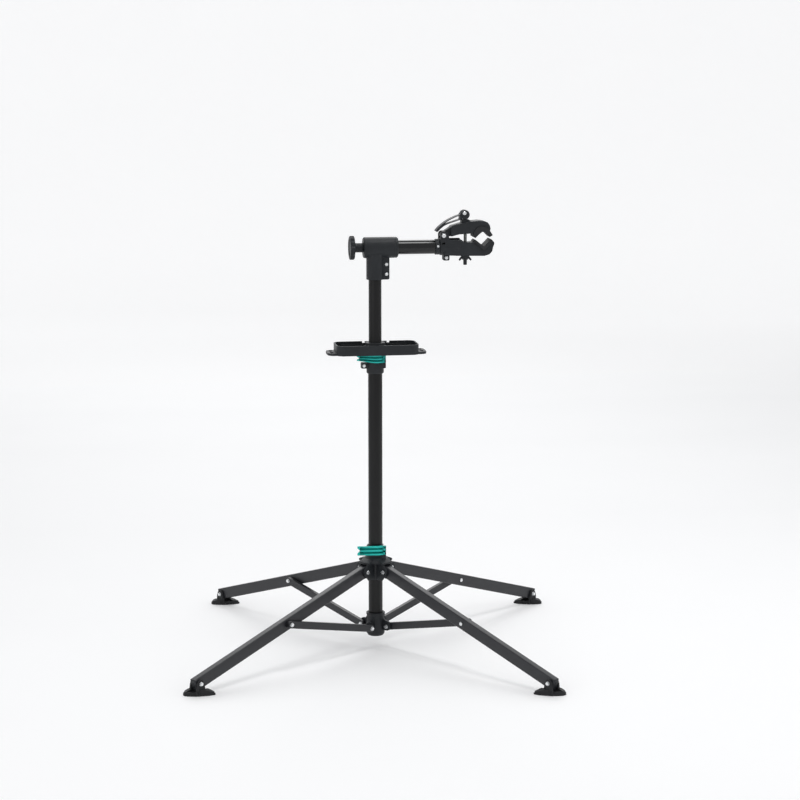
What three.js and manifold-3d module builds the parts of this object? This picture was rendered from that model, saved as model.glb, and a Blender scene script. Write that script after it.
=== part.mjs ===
// Folding repair stand for bicycles: a telescopic mast on four folding legs, a tool tray,
// and an arm with a quick-release tube clamp. Millimetres, +Z up.
// The origin is on the floor under the mast's axis, and the arm points along +X.

import * as THREE from 'three';
import { mergeVertices } from 'three/addons/utils/BufferGeometryUtils.js';
import Module from 'manifold-3d';

const wasm = await Module();
wasm.setup();

// ---------------------------------------------------------------- driving dimensions

const GAP = 0.3; // clearance between touching pieces

// Mast
const OUTER_TUBE_R = 15;
const OUTER_TUBE_TOP = 612;
const INNER_TUBE_R = 13.5;
const TUBE_WALL = 1.2;
const TUBE_SIDES = 20;

// Bottom collar, which holds the stays
const COLLAR_R = 19.25;
const COLLAR_BOTTOM = 25;
const COLLAR_TOP = 75;
const STAY_PIVOT_R = 28;
const STAY_PIVOT_Z = 46;

// Legs and stays
const LEG_COUNT = 4;
const LEG_TURN = 36.64; // azimuth of the first leg, degrees
const LEG_SLOPE = 17.4; // degrees below level
const LEG_WIDTH = 15;
const LEG_HEIGHT = 25;
const LEG_WALL = 1.2;
const LEG_END = 9; // tube past each pivot
const HUB_PIVOT_R = 35;
const HUB_PIVOT_Z = 169.5;
const HUB_TO_FOOT = 486;
const HUB_TO_STAY = 234.4;
const STAY_HEIGHT = 15;
const STAY_INNER_SIDE = 9; // the stay lies beside its leg
const STAY_OUTER_SIDE = 17;
const FOOT_LEAN = 45; // angle between a shoe and its leg
const BOLT_R = 3;
const BOLT_HOLE_R = 3.3;
const BOLT_HEAD_R = 4.6;

// Hub that slides on the outer tube
const HUB_BOTTOM = 149;
const HUB_NECK_R = 18.8;
const HUB_NECK_TOP = 222.5;
const HUB_CHEEK_INNER = 7.8;
const HUB_CHEEK_OUTER = 12.3;

// Clamp levers on the hub and on the upper collar
const LEVER_INNER_R = 19.5;
const LEVER_OUTER_R = 24.5;
const LEVER_PIN = new THREE.Vector2(15.6, -18.5);
const LEVER_EYE_R = 4.6;
const LEVER_PIN_R = 2.2;
const LEVER_TIP = new THREE.Vector2(-40, -16.5);
const LOWER_LEVER_Z = 204.4;
const LOWER_LEVER_HEIGHT = 19.6;
const UPPER_LEVER_Z = 617.4;
const UPPER_LEVER_HEIGHT = 16;

// Upper collar and tool tray
const UPPER_COLLAR_R = 18.3;
const UPPER_COLLAR_BOTTOM = 593;
const PINCH_Z = 609.7;
const TRAY_Z = 635;
const TRAY_HEIGHT = 21;
const TRAY_CENTRE_X = 2;
const TRAY_LENGTH = 174;
const TRAY_DEPTH = 76;
const TRAY_CORNER_R = 16;
const TRAY_WALL = 2.6;
const TRAY_EAR = 17.5;
const TRAY_EAR_DEPTH = 58;
const TRAY_SOCKET_R = 21;

// Arm head
const ARM_Z = 857.7;
const HEAD_R = 22;
const HEAD_LEFT = -24.9;
const HEAD_RIGHT = 47.6;
const HEAD_SLEEVE_R = 18.25;
const HEAD_SLEEVE_BOTTOM = 791;
const HEAD_BORE_TOP = 838;
const HEAD_SCREW_X = 23.2;
const HEAD_SCREW_Z = [823, 802.5];

// Arm and its locking knob
const ARM_R = 15;
const ARM_LEFT = -15.7;
const ARM_RIGHT = 126;
const STUB_R = 13.5;
const STUB_RIGHT = 174;
const STUD_R = 4;
const KNOB_R = 25;
const KNOB_LEFT = -53.6;
const KNOB_RIM_RIGHT = -44;
const KNOB_STEM_R = 9.8;
const KNOB_LOBES = 12;

// Tube clamp at the arm's end
const CLAMP_LEFT = 136;
const CLAMP_R = 18;
const JAW_HALF_WIDTH = 17;
const PAD_HALF_WIDTH = 19;
const JAW_PIVOT = new THREE.Vector2(143, 882);
const CHEEK_GAP = 10; // half the width of the upper jaw's eye
const ROD_X = 191.2;
const CAM_PIN_X = 187.8;
const LUG_BOLT = new THREE.Vector2(150, 834.8);
const ROD_R = 3.3;
const CAM_PIN_Z = 927.5;
const CAM_R = 9.8;
const CAM_HALF_WIDTH = 10;

// Finishes
const FINISH = {
  mast_black: { color: 0x17181a, roughness: 0.45, metalness: 0.3 },
  gloss_black: { color: 0x0c0d0f, roughness: 0.12, metalness: 0.3 },
  leg_paint: { color: 0x36373b, roughness: 0.55, metalness: 0.3 },
  nylon: { color: 0x2f3134, roughness: 0.6, metalness: 0 },
  teal: { color: 0x1fb39c, roughness: 0.4, metalness: 0 },
  rubber: { color: 0x242527, roughness: 0.85, metalness: 0 },
  zinc: { color: 0xc9cdd0, roughness: 0.3, metalness: 1 },
};

// ---------------------------------------------------------------- shapes

const toRadians = THREE.MathUtils.degToRad;

// A closed geometry as a solid that can be joined and cut, its faces pointing out.
function solidOf(shape) {
  if (!shape.isBufferGeometry) return shape;
  const bare = shape.clone();
  bare.deleteAttribute('normal');
  bare.deleteAttribute('uv');
  const merged = mergeVertices(bare);
  const vertProperties = new Float32Array(merged.getAttribute('position').array);
  const point = (i) => new THREE.Vector3().fromArray(vertProperties, 3 * i);
  const corners = [];
  let volume = 0;
  for (let i = 0; i < merged.index.count; i += 3) {
    const [a, b, c] = [0, 1, 2].map((k) => merged.index.getX(i + k));
    if (a === b || b === c || c === a) continue;
    corners.push([a, b, c]);
    volume += point(a).dot(point(b).cross(point(c)));
  }
  const facing = corners.map(([a, b, c]) => (volume < 0 ? [a, c, b] : [a, b, c]));
  const triVerts = new Uint32Array(facing.flat());
  return new wasm.Manifold(new wasm.Mesh({ numProp: 3, vertProperties, triVerts }));
}

function join(first, ...others) {
  return others.reduce((body, other) => body.add(solidOf(other)), solidOf(first));
}

function cut(first, ...others) {
  return others.reduce((body, other) => body.subtract(solidOf(other)), solidOf(first));
}

function geometryOf(shape) {
  const { numProp, vertProperties, triVerts } = solidOf(shape).getMesh();
  const geometry = new THREE.BufferGeometry();
  const positions = new Float32Array(vertProperties.length / numProp * 3);
  for (let i = 0; i < positions.length / 3; i += 1) {
    positions.set(vertProperties.subarray(numProp * i, numProp * i + 3), 3 * i);
  }
  geometry.setAttribute('position', new THREE.BufferAttribute(positions, 3));
  geometry.setIndex(new THREE.BufferAttribute(new Uint32Array(triVerts), 1));
  geometry.computeVertexNormals();
  return geometry;
}

// A profile of [radius, height] points turned about Z.
function turned(profile, sides) {
  const points = profile.map(([r, z]) => new THREE.Vector2(r, z));
  const startsOnAxis = profile[0][0] === 0;
  if (!startsOnAxis) points.push(points[0].clone());
  return new THREE.LatheGeometry(points, sides).rotateX(Math.PI / 2);
}

function rod(radius, from, to, sides) {
  return turned([[0, from], [radius, from], [radius, to], [0, to]], sides);
}

function pipe(outer, inner, from, to, sides) {
  return turned([[inner, from], [outer, from], [outer, to], [inner, to]], sides);
}

const alongX = (shape) => shape.rotateY(Math.PI / 2);
const alongY = (shape) => shape.rotateX(-Math.PI / 2);

function block([x0, x1], [y0, y1], [z0, z1]) {
  const box = new THREE.BoxGeometry(x1 - x0, y1 - y0, z1 - z0);
  return box.translate((x0 + x1) / 2, (y0 + y1) / 2, (z0 + z1) / 2);
}

function outline(points) {
  return new THREE.Shape(points.map(([x, y]) => new THREE.Vector2(x, y)));
}

// A flat shape in plan, made as thick as from z0 to z1.
function slab(shape, z0, z1, curveSegments = 3) {
  const options = { depth: z1 - z0, bevelEnabled: false, curveSegments };
  return new THREE.ExtrudeGeometry(shape, options).translate(0, 0, z0);
}

// A shape drawn in the X-Z plane, made as thick as from y0 to y1.
function standing(shape, y0, y1, curveSegments = 3) {
  return slab(shape, -y1, -y0, curveSegments).rotateX(Math.PI / 2);
}

function roundedRectangle(halfX, halfY, r, centreX = 0) {
  const shape = new THREE.Shape();
  shape.absarc(centreX + halfX - r, halfY - r, r, 0, Math.PI / 2);
  shape.absarc(centreX - halfX + r, halfY - r, r, Math.PI / 2, Math.PI);
  shape.absarc(centreX - halfX + r, -halfY + r, r, Math.PI, 1.5 * Math.PI);
  shape.absarc(centreX + halfX - r, -halfY + r, r, 1.5 * Math.PI, 2 * Math.PI);
  return shape;
}

// A hex-head bolt with its nut along Y: nut from n0 to n1, head from h0 to h1.
function bolt(nut, head) {
  const crown = 1;
  const profile = [
    [0, nut[0]], [BOLT_HEAD_R, nut[0]], [BOLT_HEAD_R, nut[1]], [BOLT_R, nut[1]],
    [BOLT_R, head[0]], [BOLT_HEAD_R, head[0]], [BOLT_HEAD_R, head[1] - crown],
    [BOLT_HEAD_R - crown, head[1]], [0, head[1]],
  ];
  return alongY(turned(profile, 8));
}

const stand = new THREE.Group();

function place(parent, name, shape, finish) {
  const mesh = new THREE.Mesh(geometryOf(shape), new THREE.MeshStandardMaterial(FINISH[finish]));
  mesh.name = name;
  parent.add(mesh);
  return mesh;
}

// ---------------------------------------------------------------- fixed mast

function outerTube() {
  const inner = OUTER_TUBE_R - TUBE_WALL;
  return pipe(OUTER_TUBE_R, inner, COLLAR_BOTTOM + 3.6, OUTER_TUBE_TOP, TUBE_SIDES);
}

// A cup round the foot of the mast, with four lugs for the stays.
function bottomCollar() {
  const bore = OUTER_TUBE_R + GAP;
  const floor = COLLAR_BOTTOM + 3.3;
  const rim = COLLAR_R + 0.75;
  const cup = turned([
    [0, COLLAR_BOTTOM], [16.5, COLLAR_BOTTOM], [COLLAR_R, COLLAR_BOTTOM + 5],
    [COLLAR_R, COLLAR_TOP - 5], [rim, COLLAR_TOP - 5], [rim, COLLAR_TOP],
    [bore, COLLAR_TOP], [bore, floor], [0, floor],
  ], TUBE_SIDES);
  const lugShape = new THREE.Shape();
  lugShape.moveTo(16.2, 36);
  lugShape.absarc(STAY_PIVOT_R, STAY_PIVOT_Z + 2, 10.5, -Math.PI / 2, Math.PI / 2);
  lugShape.lineTo(16.2, 61);
  const hole = alongY(rod(BOLT_HOLE_R, 0, STAY_INNER_SIDE, 8));
  hole.translate(STAY_PIVOT_R, 0, STAY_PIVOT_Z);
  const lug = cut(standing(lugShape, 4.5, STAY_INNER_SIDE - GAP), hole);
  const lugs = eachLeg((azimuth) => geometryOf(lug).rotateZ(azimuth));
  return cut(join(cup, ...lugs), rod(bore, floor, COLLAR_TOP + 1, TUBE_SIDES));
}

// The upper collar grips the inner tube; its pinch boss is on the side away from the arm.
function upperCollar() {
  const top = TRAY_Z - GAP;
  const body = turned([
    [OUTER_TUBE_R + GAP, UPPER_COLLAR_BOTTOM], [UPPER_COLLAR_R - 1, UPPER_COLLAR_BOTTOM],
    [UPPER_COLLAR_R, UPPER_COLLAR_BOTTOM + 2], [UPPER_COLLAR_R, top],
    [INNER_TUBE_R + GAP, top], [INNER_TUBE_R + GAP, OUTER_TUBE_TOP + GAP],
    [OUTER_TUBE_R + GAP, OUTER_TUBE_TOP + GAP],
  ], TUBE_SIDES);
  const boss = block([-30, -16.6], [-7, 7], [603.8, 615.6]);
  const slit = block([-31, -12], [-1, 1], [603, 616.4]);
  const hole = alongY(rod(2.5, -8, 8, 10)).translate(-24.5, 0, PINCH_Z);
  const ear = leverEar(606, UPPER_LEVER_Z - GAP, UPPER_COLLAR_R);
  const bored = rod(OUTER_TUBE_R + GAP, 598, OUTER_TUBE_TOP + GAP, TUBE_SIDES);
  return cut(join(body, boss, ear), slit, hole, bored, leverPinHole(607.5, UPPER_LEVER_Z + 1));
}

function pinchBolt() {
  const profile = [
    [0, -10.4], [3.4, -10.4], [3.6, -9.6], [3.6, -7.3], [2.2, -7.3], [2.2, 7.3],
    [3.8, 7.3], [3.8, 10], [0, 10],
  ];
  return alongY(turned(profile, 8)).translate(-24.5, 0, PINCH_Z);
}

// A ledge that carries a lever's pin.
function leverEar(z0, z1, bodyR) {
  const reach = new THREE.Shape();
  const away = Math.atan2(LEVER_PIN.y, LEVER_PIN.x);
  reach.moveTo(0.86 * bodyR * Math.cos(away + 0.5), 0.86 * bodyR * Math.sin(away + 0.5));
  reach.lineTo(0.86 * bodyR * Math.cos(away - 0.5), 0.86 * bodyR * Math.sin(away - 0.5));
  reach.absarc(LEVER_PIN.x, LEVER_PIN.y, LEVER_EYE_R, away - Math.PI / 2, away + Math.PI / 2);
  return slab(reach, z0, z1);
}

function leverPinHole(z0, z1) {
  return rod(LEVER_PIN_R + GAP, z0, z1, 10).translate(LEVER_PIN.x, LEVER_PIN.y, 0);
}

// The lever hugs the collar from its pin and runs off straight to a grip; three fins and a web.
function clampLever(z, height) {
  const start = Math.atan2(LEVER_PIN.y, LEVER_PIN.x);
  const leave = toRadians(-101);
  const plan = (outer, tipWidth) => {
    const shape = new THREE.Shape();
    shape.absarc(LEVER_PIN.x, LEVER_PIN.y, LEVER_EYE_R, start - 1.2, start + Math.PI - 0.35);
    shape.absarc(0, 0, LEVER_INNER_R, start - 0.12, leave, true);
    shape.lineTo(LEVER_TIP.x, LEVER_TIP.y);
    shape.lineTo(LEVER_TIP.x - 1.5, LEVER_TIP.y - tipWidth);
    shape.absarc(0, 0, outer, leave, start - 0.25, false);
    return shape;
  };
  const web = slab(plan(LEVER_INNER_R + 2.2, 1.6), z, z + height, 5);
  const fins = [0, 0.41, 0.82].map((share) => {
    const low = z + share * height;
    return slab(plan(LEVER_OUTER_R, 4.4), low, low + 0.18 * height, 5);
  });
  const grip = slab(outline([
    [-33, -17.6], [LEVER_TIP.x, LEVER_TIP.y], [LEVER_TIP.x - 1.5, LEVER_TIP.y - 4.4], [-33, -22.6],
  ]), z, z + height);
  const notch = standing(outline([[-45, 0.5], [-35.6, height / 2], [-45, height - 0.5]]), -30, 0);
  const pinHole = leverPinHole(z - 1, z + height + 1);
  return cut(join(web, ...fins, grip), notch.translate(0, 0, z), pinHole);
}

function leverPin(foot, top) {
  const head = LEVER_PIN_R + 1.4;
  const profile = [
    [0, foot], [LEVER_PIN_R, foot], [LEVER_PIN_R, top + GAP], [head, top + GAP],
    [head, top + GAP + 1], [0, top + GAP + 1],
  ];
  return turned(profile, 10).translate(LEVER_PIN.x, LEVER_PIN.y, 0);
}

// Two bins with a socket for the mast between them, and slotted ears for tools.
function toolTray() {
  const halfX = TRAY_LENGTH / 2;
  const halfY = TRAY_DEPTH / 2;
  const floor = TRAY_Z + 3;
  const top = TRAY_Z + TRAY_HEIGHT;
  const shell = slab(roundedRectangle(halfX, halfY, TRAY_CORNER_R, TRAY_CENTRE_X), TRAY_Z, top, 3);
  const inside = roundedRectangle(
    halfX - TRAY_WALL, halfY - TRAY_WALL, TRAY_CORNER_R - TRAY_WALL, TRAY_CENTRE_X,
  );
  const hollow = slab(inside, floor, top + 1, 3);
  const ledge = block([-70, 74], [halfY - 7, halfY - 1], [floor - 1, TRAY_Z + 15.5]);
  const socket = rod(TRAY_SOCKET_R, floor - 1, top + 2.5, TUBE_SIDES);
  const earHalf = halfX + TRAY_EAR;
  const earPlate = slab(roundedRectangle(earHalf, TRAY_EAR_DEPTH / 2, 15, TRAY_CENTRE_X), TRAY_Z, TRAY_Z + 5, 3);
  const shape = join(cut(shell, hollow), ledge, socket, cut(earPlate, hollow));
  const bore = rod(INNER_TUBE_R + 0.4, TRAY_Z - 1, top + 4, TUBE_SIDES);
  const slots = [];
  for (const side of [-1, 1]) {
    for (const y of [-13, 13]) {
      const x = TRAY_CENTRE_X + side * (halfX + TRAY_EAR / 2 - 0.5);
      slots.push(block([x - 3.6, x + 3.6], [y - 8.5, y + 8.5], [TRAY_Z - 1, TRAY_Z + 6]));
    }
    const notchX = side < 0 ? -20 : 32.5;
    slots.push(block([notchX - 3.2, notchX + 3.2], [halfY - 8, halfY + 1], [top - 6, top + 1]));
  }
  return cut(shape, bore, ...slots);
}

// ---------------------------------------------------------------- sliding hub and legs

const legAzimuth = (k) => toRadians(LEG_TURN + 360 / LEG_COUNT * k);

function eachLeg(make) {
  return Array.from({ length: LEG_COUNT }, (_, k) => make(legAzimuth(k), k));
}

// A sleeve on the mast under a sloping cap, with a pair of cheeks for each leg.
function legHub() {
  const bore = OUTER_TUBE_R + 0.35;
  const capUnderside = 185.6;
  const sleeve = turned([
    [bore, HUB_BOTTOM], [HUB_NECK_R - 1, HUB_BOTTOM], [HUB_NECK_R, HUB_BOTTOM + 2],
    [HUB_NECK_R, capUnderside], [38, capUnderside], [38, 189.5], [HUB_NECK_R + 0.6, 198],
    [HUB_NECK_R, 199], [HUB_NECK_R, HUB_NECK_TOP - 1], [HUB_NECK_R - 1, HUB_NECK_TOP],
    [bore, HUB_NECK_TOP],
  ], TUBE_SIDES);
  const cheekShape = new THREE.Shape();
  cheekShape.moveTo(16.2, HUB_BOTTOM + 1);
  cheekShape.lineTo(30, HUB_BOTTOM + 1);
  cheekShape.absarc(HUB_PIVOT_R, HUB_PIVOT_Z, 10.5, toRadians(-75), toRadians(70));
  cheekShape.lineTo(34, 187);
  cheekShape.lineTo(16.2, 187);
  const pivotHole = alongY(rod(BOLT_HOLE_R, -14, 14, 8)).translate(HUB_PIVOT_R, 0, HUB_PIVOT_Z);
  const left = standing(cheekShape, HUB_CHEEK_INNER, HUB_CHEEK_OUTER);
  const right = standing(cheekShape, -HUB_CHEEK_OUTER, -HUB_CHEEK_INNER);
  const cheeks = cut(join(left, right), pivotHole);
  const pairs = eachLeg((azimuth) => geometryOf(cheeks).rotateZ(azimuth));
  const ear = leverEar(192, LOWER_LEVER_Z - GAP, HUB_NECK_R);
  const scallops = eachLeg((azimuth) => rod(14, 184, 200, 20).translate(40, 0, 0).rotateZ(azimuth + Math.PI / 4));
  const bored = rod(bore, HUB_BOTTOM - 1, HUB_NECK_TOP + 1, TUBE_SIDES);
  const body = join(cut(sleeve, ...scallops), ...pairs, ear);
  return cut(body, bored, leverPinHole(193.5, LOWER_LEVER_Z + 1));
}

function legTube() {
  const ends = [-LEG_END, HUB_TO_FOOT + LEG_END];
  const [halfY, halfZ] = [LEG_WIDTH / 2, LEG_HEIGHT / 2];
  const outside = block(ends, [-halfY, halfY], [-halfZ, halfZ]);
  const inside = block(
    [ends[0] - 1, ends[1] + 1], [LEG_WALL - halfY, halfY - LEG_WALL], [LEG_WALL - halfZ, halfZ - LEG_WALL],
  );
  const holes = [0, HUB_TO_FOOT].map((x) => alongY(rod(BOLT_HOLE_R, -9, 9, 8)).translate(x, 0, 0));
  return cut(outside, inside, ...holes);
}

function stayLength() {
  const slope = toRadians(LEG_SLOPE);
  const run = HUB_PIVOT_R + HUB_TO_STAY * Math.cos(slope) - STAY_PIVOT_R;
  const rise = HUB_PIVOT_Z - HUB_TO_STAY * Math.sin(slope) - STAY_PIVOT_Z;
  return { length: Math.hypot(run, rise), angle: Math.atan2(rise, run) };
}

function stayBar(length) {
  const half = STAY_HEIGHT / 2;
  const shape = new THREE.Shape();
  shape.absarc(0, 0, half, Math.PI / 2, 1.5 * Math.PI);
  shape.absarc(length, 0, half, -Math.PI / 2, Math.PI / 2);
  const bar = standing(shape, STAY_INNER_SIDE, STAY_OUTER_SIDE, 3);
  const hollow = block(
    [-half - 1, length + half + 1],
    [STAY_INNER_SIDE + LEG_WALL, STAY_OUTER_SIDE - LEG_WALL],
    [LEG_WALL - half, half - LEG_WALL],
  );
  const holes = [0, length].map((x) => alongY(rod(BOLT_HOLE_R, 8, 18, 8)).translate(x, 0, 0));
  return cut(bar, hollow, ...holes);
}

// The bolt that joins a stay to its leg; its flange keeps the two apart.
function midBolt() {
  const flange = [LEG_WIDTH / 2 + GAP, STAY_INNER_SIDE - GAP];
  const head = STAY_OUTER_SIDE + GAP;
  const profile = [
    [0, flange[0]], [6, flange[0]], [6, flange[1]], [BOLT_R, flange[1]], [BOLT_R, head],
    [BOLT_HEAD_R, head], [BOLT_HEAD_R, head + 2], [BOLT_HEAD_R - 1, head + 3], [0, head + 3],
  ];
  return alongY(turned(profile, 8));
}

// A leaf-shaped shoe whose narrow end points at the middle of the stand; lean is the
// angle between the shoe and its leg. The pivot is the shoe's own origin.
function footShoe(pivotHeight, lean) {
  const sole = -pivotHeight;
  const leaf = new THREE.Shape();
  leaf.moveTo(-34, 2.6);
  leaf.quadraticCurveTo(-37.5, 0, -34, -2.6);
  leaf.quadraticCurveTo(-14, -13.5, 8, -14);
  leaf.quadraticCurveTo(26, -13.5, 28.6, -6);
  leaf.lineTo(28.6, 6);
  leaf.quadraticCurveTo(26, 13.5, 8, 14);
  leaf.quadraticCurveTo(-14, 13.5, -34, 2.6);
  const crown = standing(outline([
    [-40, sole + 3.6], [-31, sole + 7], [-20, sole + 10.6], [-8, sole + 13], [6, sole + 13],
    [16, sole + 10.8], [24, sole + 7.6], [32, sole + 3.2], [32, sole + 20], [-40, sole + 20],
  ]), -16, 16);
  const trough = block([-50, 50], [-8.1, 8.1], [sole + 7.6, sole + 20]);
  const dome = geometryOf(cut(slab(leaf, sole, sole + 14, 3), crown)).rotateZ(lean);
  const base = cut(dome, trough);
  const earShape = new THREE.Shape();
  earShape.moveTo(-13, sole + 1);
  earShape.lineTo(13, sole + 1);
  earShape.absarc(0, 0, 8.6, toRadians(-10), toRadians(190));
  const ears = [[7.9, 11.9], [-11.9, -7.9]].map(([y0, y1]) => standing(earShape, y0, y1, 3));
  const hole = alongY(rod(BOLT_HOLE_R, -14, 14, 8));
  return cut(join(base, ...ears), hole);
}

// ---------------------------------------------------------------- rising mast and arm

function guideBush() {
  const bore = 8;
  return turned([
    [bore, 31], [INNER_TUBE_R - 0.2, 31], [INNER_TUBE_R - 0.2, 37], [12, 37], [12, 50], [bore, 50],
  ], TUBE_SIDES);
}

function innerTube() {
  return pipe(INNER_TUBE_R, INNER_TUBE_R - TUBE_WALL, 37.3, HEAD_BORE_TOP - GAP, TUBE_SIDES);
}

// A tee: a sleeve for the arm across a split sleeve that grips the inner tube.
function armHead() {
  const across = alongX(turned([
    [STUD_R + 0.4, HEAD_LEFT], [19.5, HEAD_LEFT], [HEAD_R, HEAD_LEFT + 3], [HEAD_R, 40.5],
    [17.5, HEAD_RIGHT], [ARM_R + GAP, HEAD_RIGHT], [ARM_R + GAP, -18], [STUD_R + 0.4, -18],
  ], TUBE_SIDES)).translate(0, 0, ARM_Z);
  const sleeve = rod(HEAD_SLEEVE_R, HEAD_SLEEVE_BOTTOM, ARM_Z - ARM_R, TUBE_SIDES);
  const ears = block([12, 29.4], [-8.5, 8.5], [HEAD_SLEEVE_BOTTOM, 838]);
  const bore = rod(INNER_TUBE_R + GAP, HEAD_SLEEVE_BOTTOM - 1, HEAD_BORE_TOP, TUBE_SIDES);
  const slit = block([11, 31], [-1.2, 1.2], [HEAD_SLEEVE_BOTTOM - 1, 834.5]);
  const armBore = alongX(rod(ARM_R + GAP, -18, HEAD_RIGHT + 1, TUBE_SIDES)).translate(0, 0, ARM_Z);
  const holes = HEAD_SCREW_Z.map((z) => alongY(rod(2.5, -10, 10, 8)).translate(HEAD_SCREW_X, 0, z));
  return cut(join(across, sleeve, ears), bore, slit, armBore, ...holes);
}

function headScrew() {
  const profile = [
    [0, -11.8], [2.6, -11.8], [3.2, -11], [3.2, -8.8], [2.2, -8.8], [2.2, 8.8], [3.2, 8.8],
    [3.2, 11.4], [0, 11.4],
  ];
  return alongY(turned(profile, 10));
}

function armTube() {
  return alongX(pipe(ARM_R, ARM_R - TUBE_WALL, ARM_LEFT, ARM_RIGHT, TUBE_SIDES));
}

// The stud that the knob draws up; its disc sits in the arm's end.
function drawStud() {
  const disc = ARM_R - TUBE_WALL - GAP;
  return alongX(turned([
    [0, -49.6], [STUD_R, -49.6], [STUD_R, -15], [disc, -15], [disc, -9], [0, -9],
  ], 12));
}

function lockingKnob() {
  const rim = [];
  const steps = 4 * KNOB_LOBES;
  for (let i = 0; i < steps; i += 1) {
    const turn = 2 * Math.PI * i / steps;
    const r = KNOB_R - 1.5 * (1 - Math.cos(KNOB_LOBES * turn));
    rim.push([r * Math.cos(turn), r * Math.sin(turn)]);
  }
  const head = slab(outline(rim), KNOB_LEFT, KNOB_RIM_RIGHT);
  const stem = rod(KNOB_STEM_R, KNOB_RIM_RIGHT - 1, HEAD_LEFT - GAP, 16);
  const bore = rod(STUD_R + 0.35, -50.4, HEAD_LEFT + 1, 12);
  return alongX(geometryOf(cut(join(head, stem), bore)));
}

function armStub() {
  return alongX(pipe(STUB_R, STUB_R - 2, 70, STUB_RIGHT, TUBE_SIDES));
}

function endRing() {
  const ring = alongX(pipe(16.6, STUB_R + GAP, ARM_RIGHT + GAP, CLAMP_LEFT - GAP, TUBE_SIDES));
  const hole = alongY(rod(2.2, -18, -10, 8)).translate(131, 0, 2.2);
  return cut(ring, hole);
}

function ringScrew() {
  const profile = [[0, -18], [2.4, -18], [2.6, -16.7], [1.9, -16.7], [1.9, -13.9], [0, -13.9]];
  return alongY(turned(profile, 8)).translate(131, 0, 2.2);
}

// ---------------------------------------------------------------- tube clamp

// The lower pad's vee: its apex, its two faces and how far each runs.
const VEE = {
  apex: new THREE.Vector2(228.3, 857.5),
  left: new THREE.Vector2(-18, 15.1).normalize(),
  right: new THREE.Vector2(14.6, 16.5).normalize(),
  leftRun: 23.5,
  rightRun: 22,
};

// The vee's corners at a depth below its faces: left end, apex, right end.
function veeCorners(depth) {
  const downLeft = new THREE.Vector2(-VEE.left.y, VEE.left.x);
  const downRight = new THREE.Vector2(VEE.right.y, -VEE.right.x);
  const end = (direction, run, down) => VEE.apex.clone()
    .addScaledVector(direction, run)
    .addScaledVector(down, depth);
  const fold = downLeft.clone().add(downRight).multiplyScalar(depth / (1 + downLeft.dot(downRight)));
  return [
    end(VEE.left, VEE.leftRun, downLeft),
    VEE.apex.clone().add(fold),
    end(VEE.right, VEE.rightRun, downRight),
  ].map((p) => [p.x, p.y]);
}

function lowerPad() {
  const [left, apex, right] = veeCorners(0);
  const [leftBack, apexBack, rightBack] = veeCorners(6);
  return standing(outline([left, leftBack, apexBack, rightBack, right, apex]), -PAD_HALF_WIDTH, PAD_HALF_WIDTH);
}

// The clamp's fixed half: a split sleeve on the arm's stub, two cheeks for the upper jaw's
// pivot, and the lower jaw.
function clampBody() {
  const [left, apex, right] = veeCorners(6 + GAP);
  const jaw = standing(outline([
    [146, 840.6], [172, 839.2], [230, 838.4], [240, 841.5], [246, 848], [247.5, 856], [250.3, 863.6],
    [249.8, 867], right, apex, left, [200, 866.6], [183, 867.9], [182.5, 872.4], [146, 872.4],
  ]), -JAW_HALF_WIDTH, JAW_HALF_WIDTH);
  const sleeve = alongX(rod(CLAMP_R, CLAMP_LEFT, 179, TUBE_SIDES)).translate(0, 0, ARM_Z);
  const cheekShape = outline([
    [CLAMP_LEFT, 862], [CLAMP_LEFT, 884.5], [139, 890], [148, 890.5], [153, 884], [156, 866],
  ]);
  const cheeks = [[CHEEK_GAP + GAP, JAW_HALF_WIDTH], [-JAW_HALF_WIDTH, -CHEEK_GAP - GAP]];
  const lug = block([143.5, 156.5], [-9, 9], [829, 846]);
  const slit = block([133, 159], [-1.2, 1.2], [828, 848]);
  const bore = alongX(rod(STUB_R + GAP, CLAMP_LEFT - 1, 175, TUBE_SIDES)).translate(0, 0, ARM_Z);
  const pivotHole = alongY(rod(BOLT_HOLE_R, -18, 18, 8)).translate(JAW_PIVOT.x, 0, JAW_PIVOT.y);
  const rodHole = rod(4.5, 830, 870, 12).translate(ROD_X, 0, 0);
  const lugHole = alongY(rod(BOLT_HOLE_R, -10, 10, 8)).translate(LUG_BOLT.x, 0, LUG_BOLT.y);
  const body = join(jaw, sleeve, lug, ...cheeks.map(([y0, y1]) => standing(cheekShape, y0, y1)));
  return cut(body, slit, bore, pivotHole, rodHole, lugHole);
}

const PAD_ARCH = { x: 224.5, z: 881.5, r: 19, from: 172, to: 31 };

function upperPad() {
  const shape = new THREE.Shape();
  shape.moveTo(210, 876);
  shape.lineTo(223.3, 890);
  shape.lineTo(229.6, 890);
  shape.lineTo(240.5, 877.8);
  shape.lineTo(246.8, 881.6);
  shape.absarc(PAD_ARCH.x, PAD_ARCH.z, PAD_ARCH.r, toRadians(PAD_ARCH.to), toRadians(PAD_ARCH.from));
  shape.lineTo(205.4, 878.6);
  return standing(shape, -PAD_HALF_WIDTH, PAD_HALF_WIDTH);
}

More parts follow.
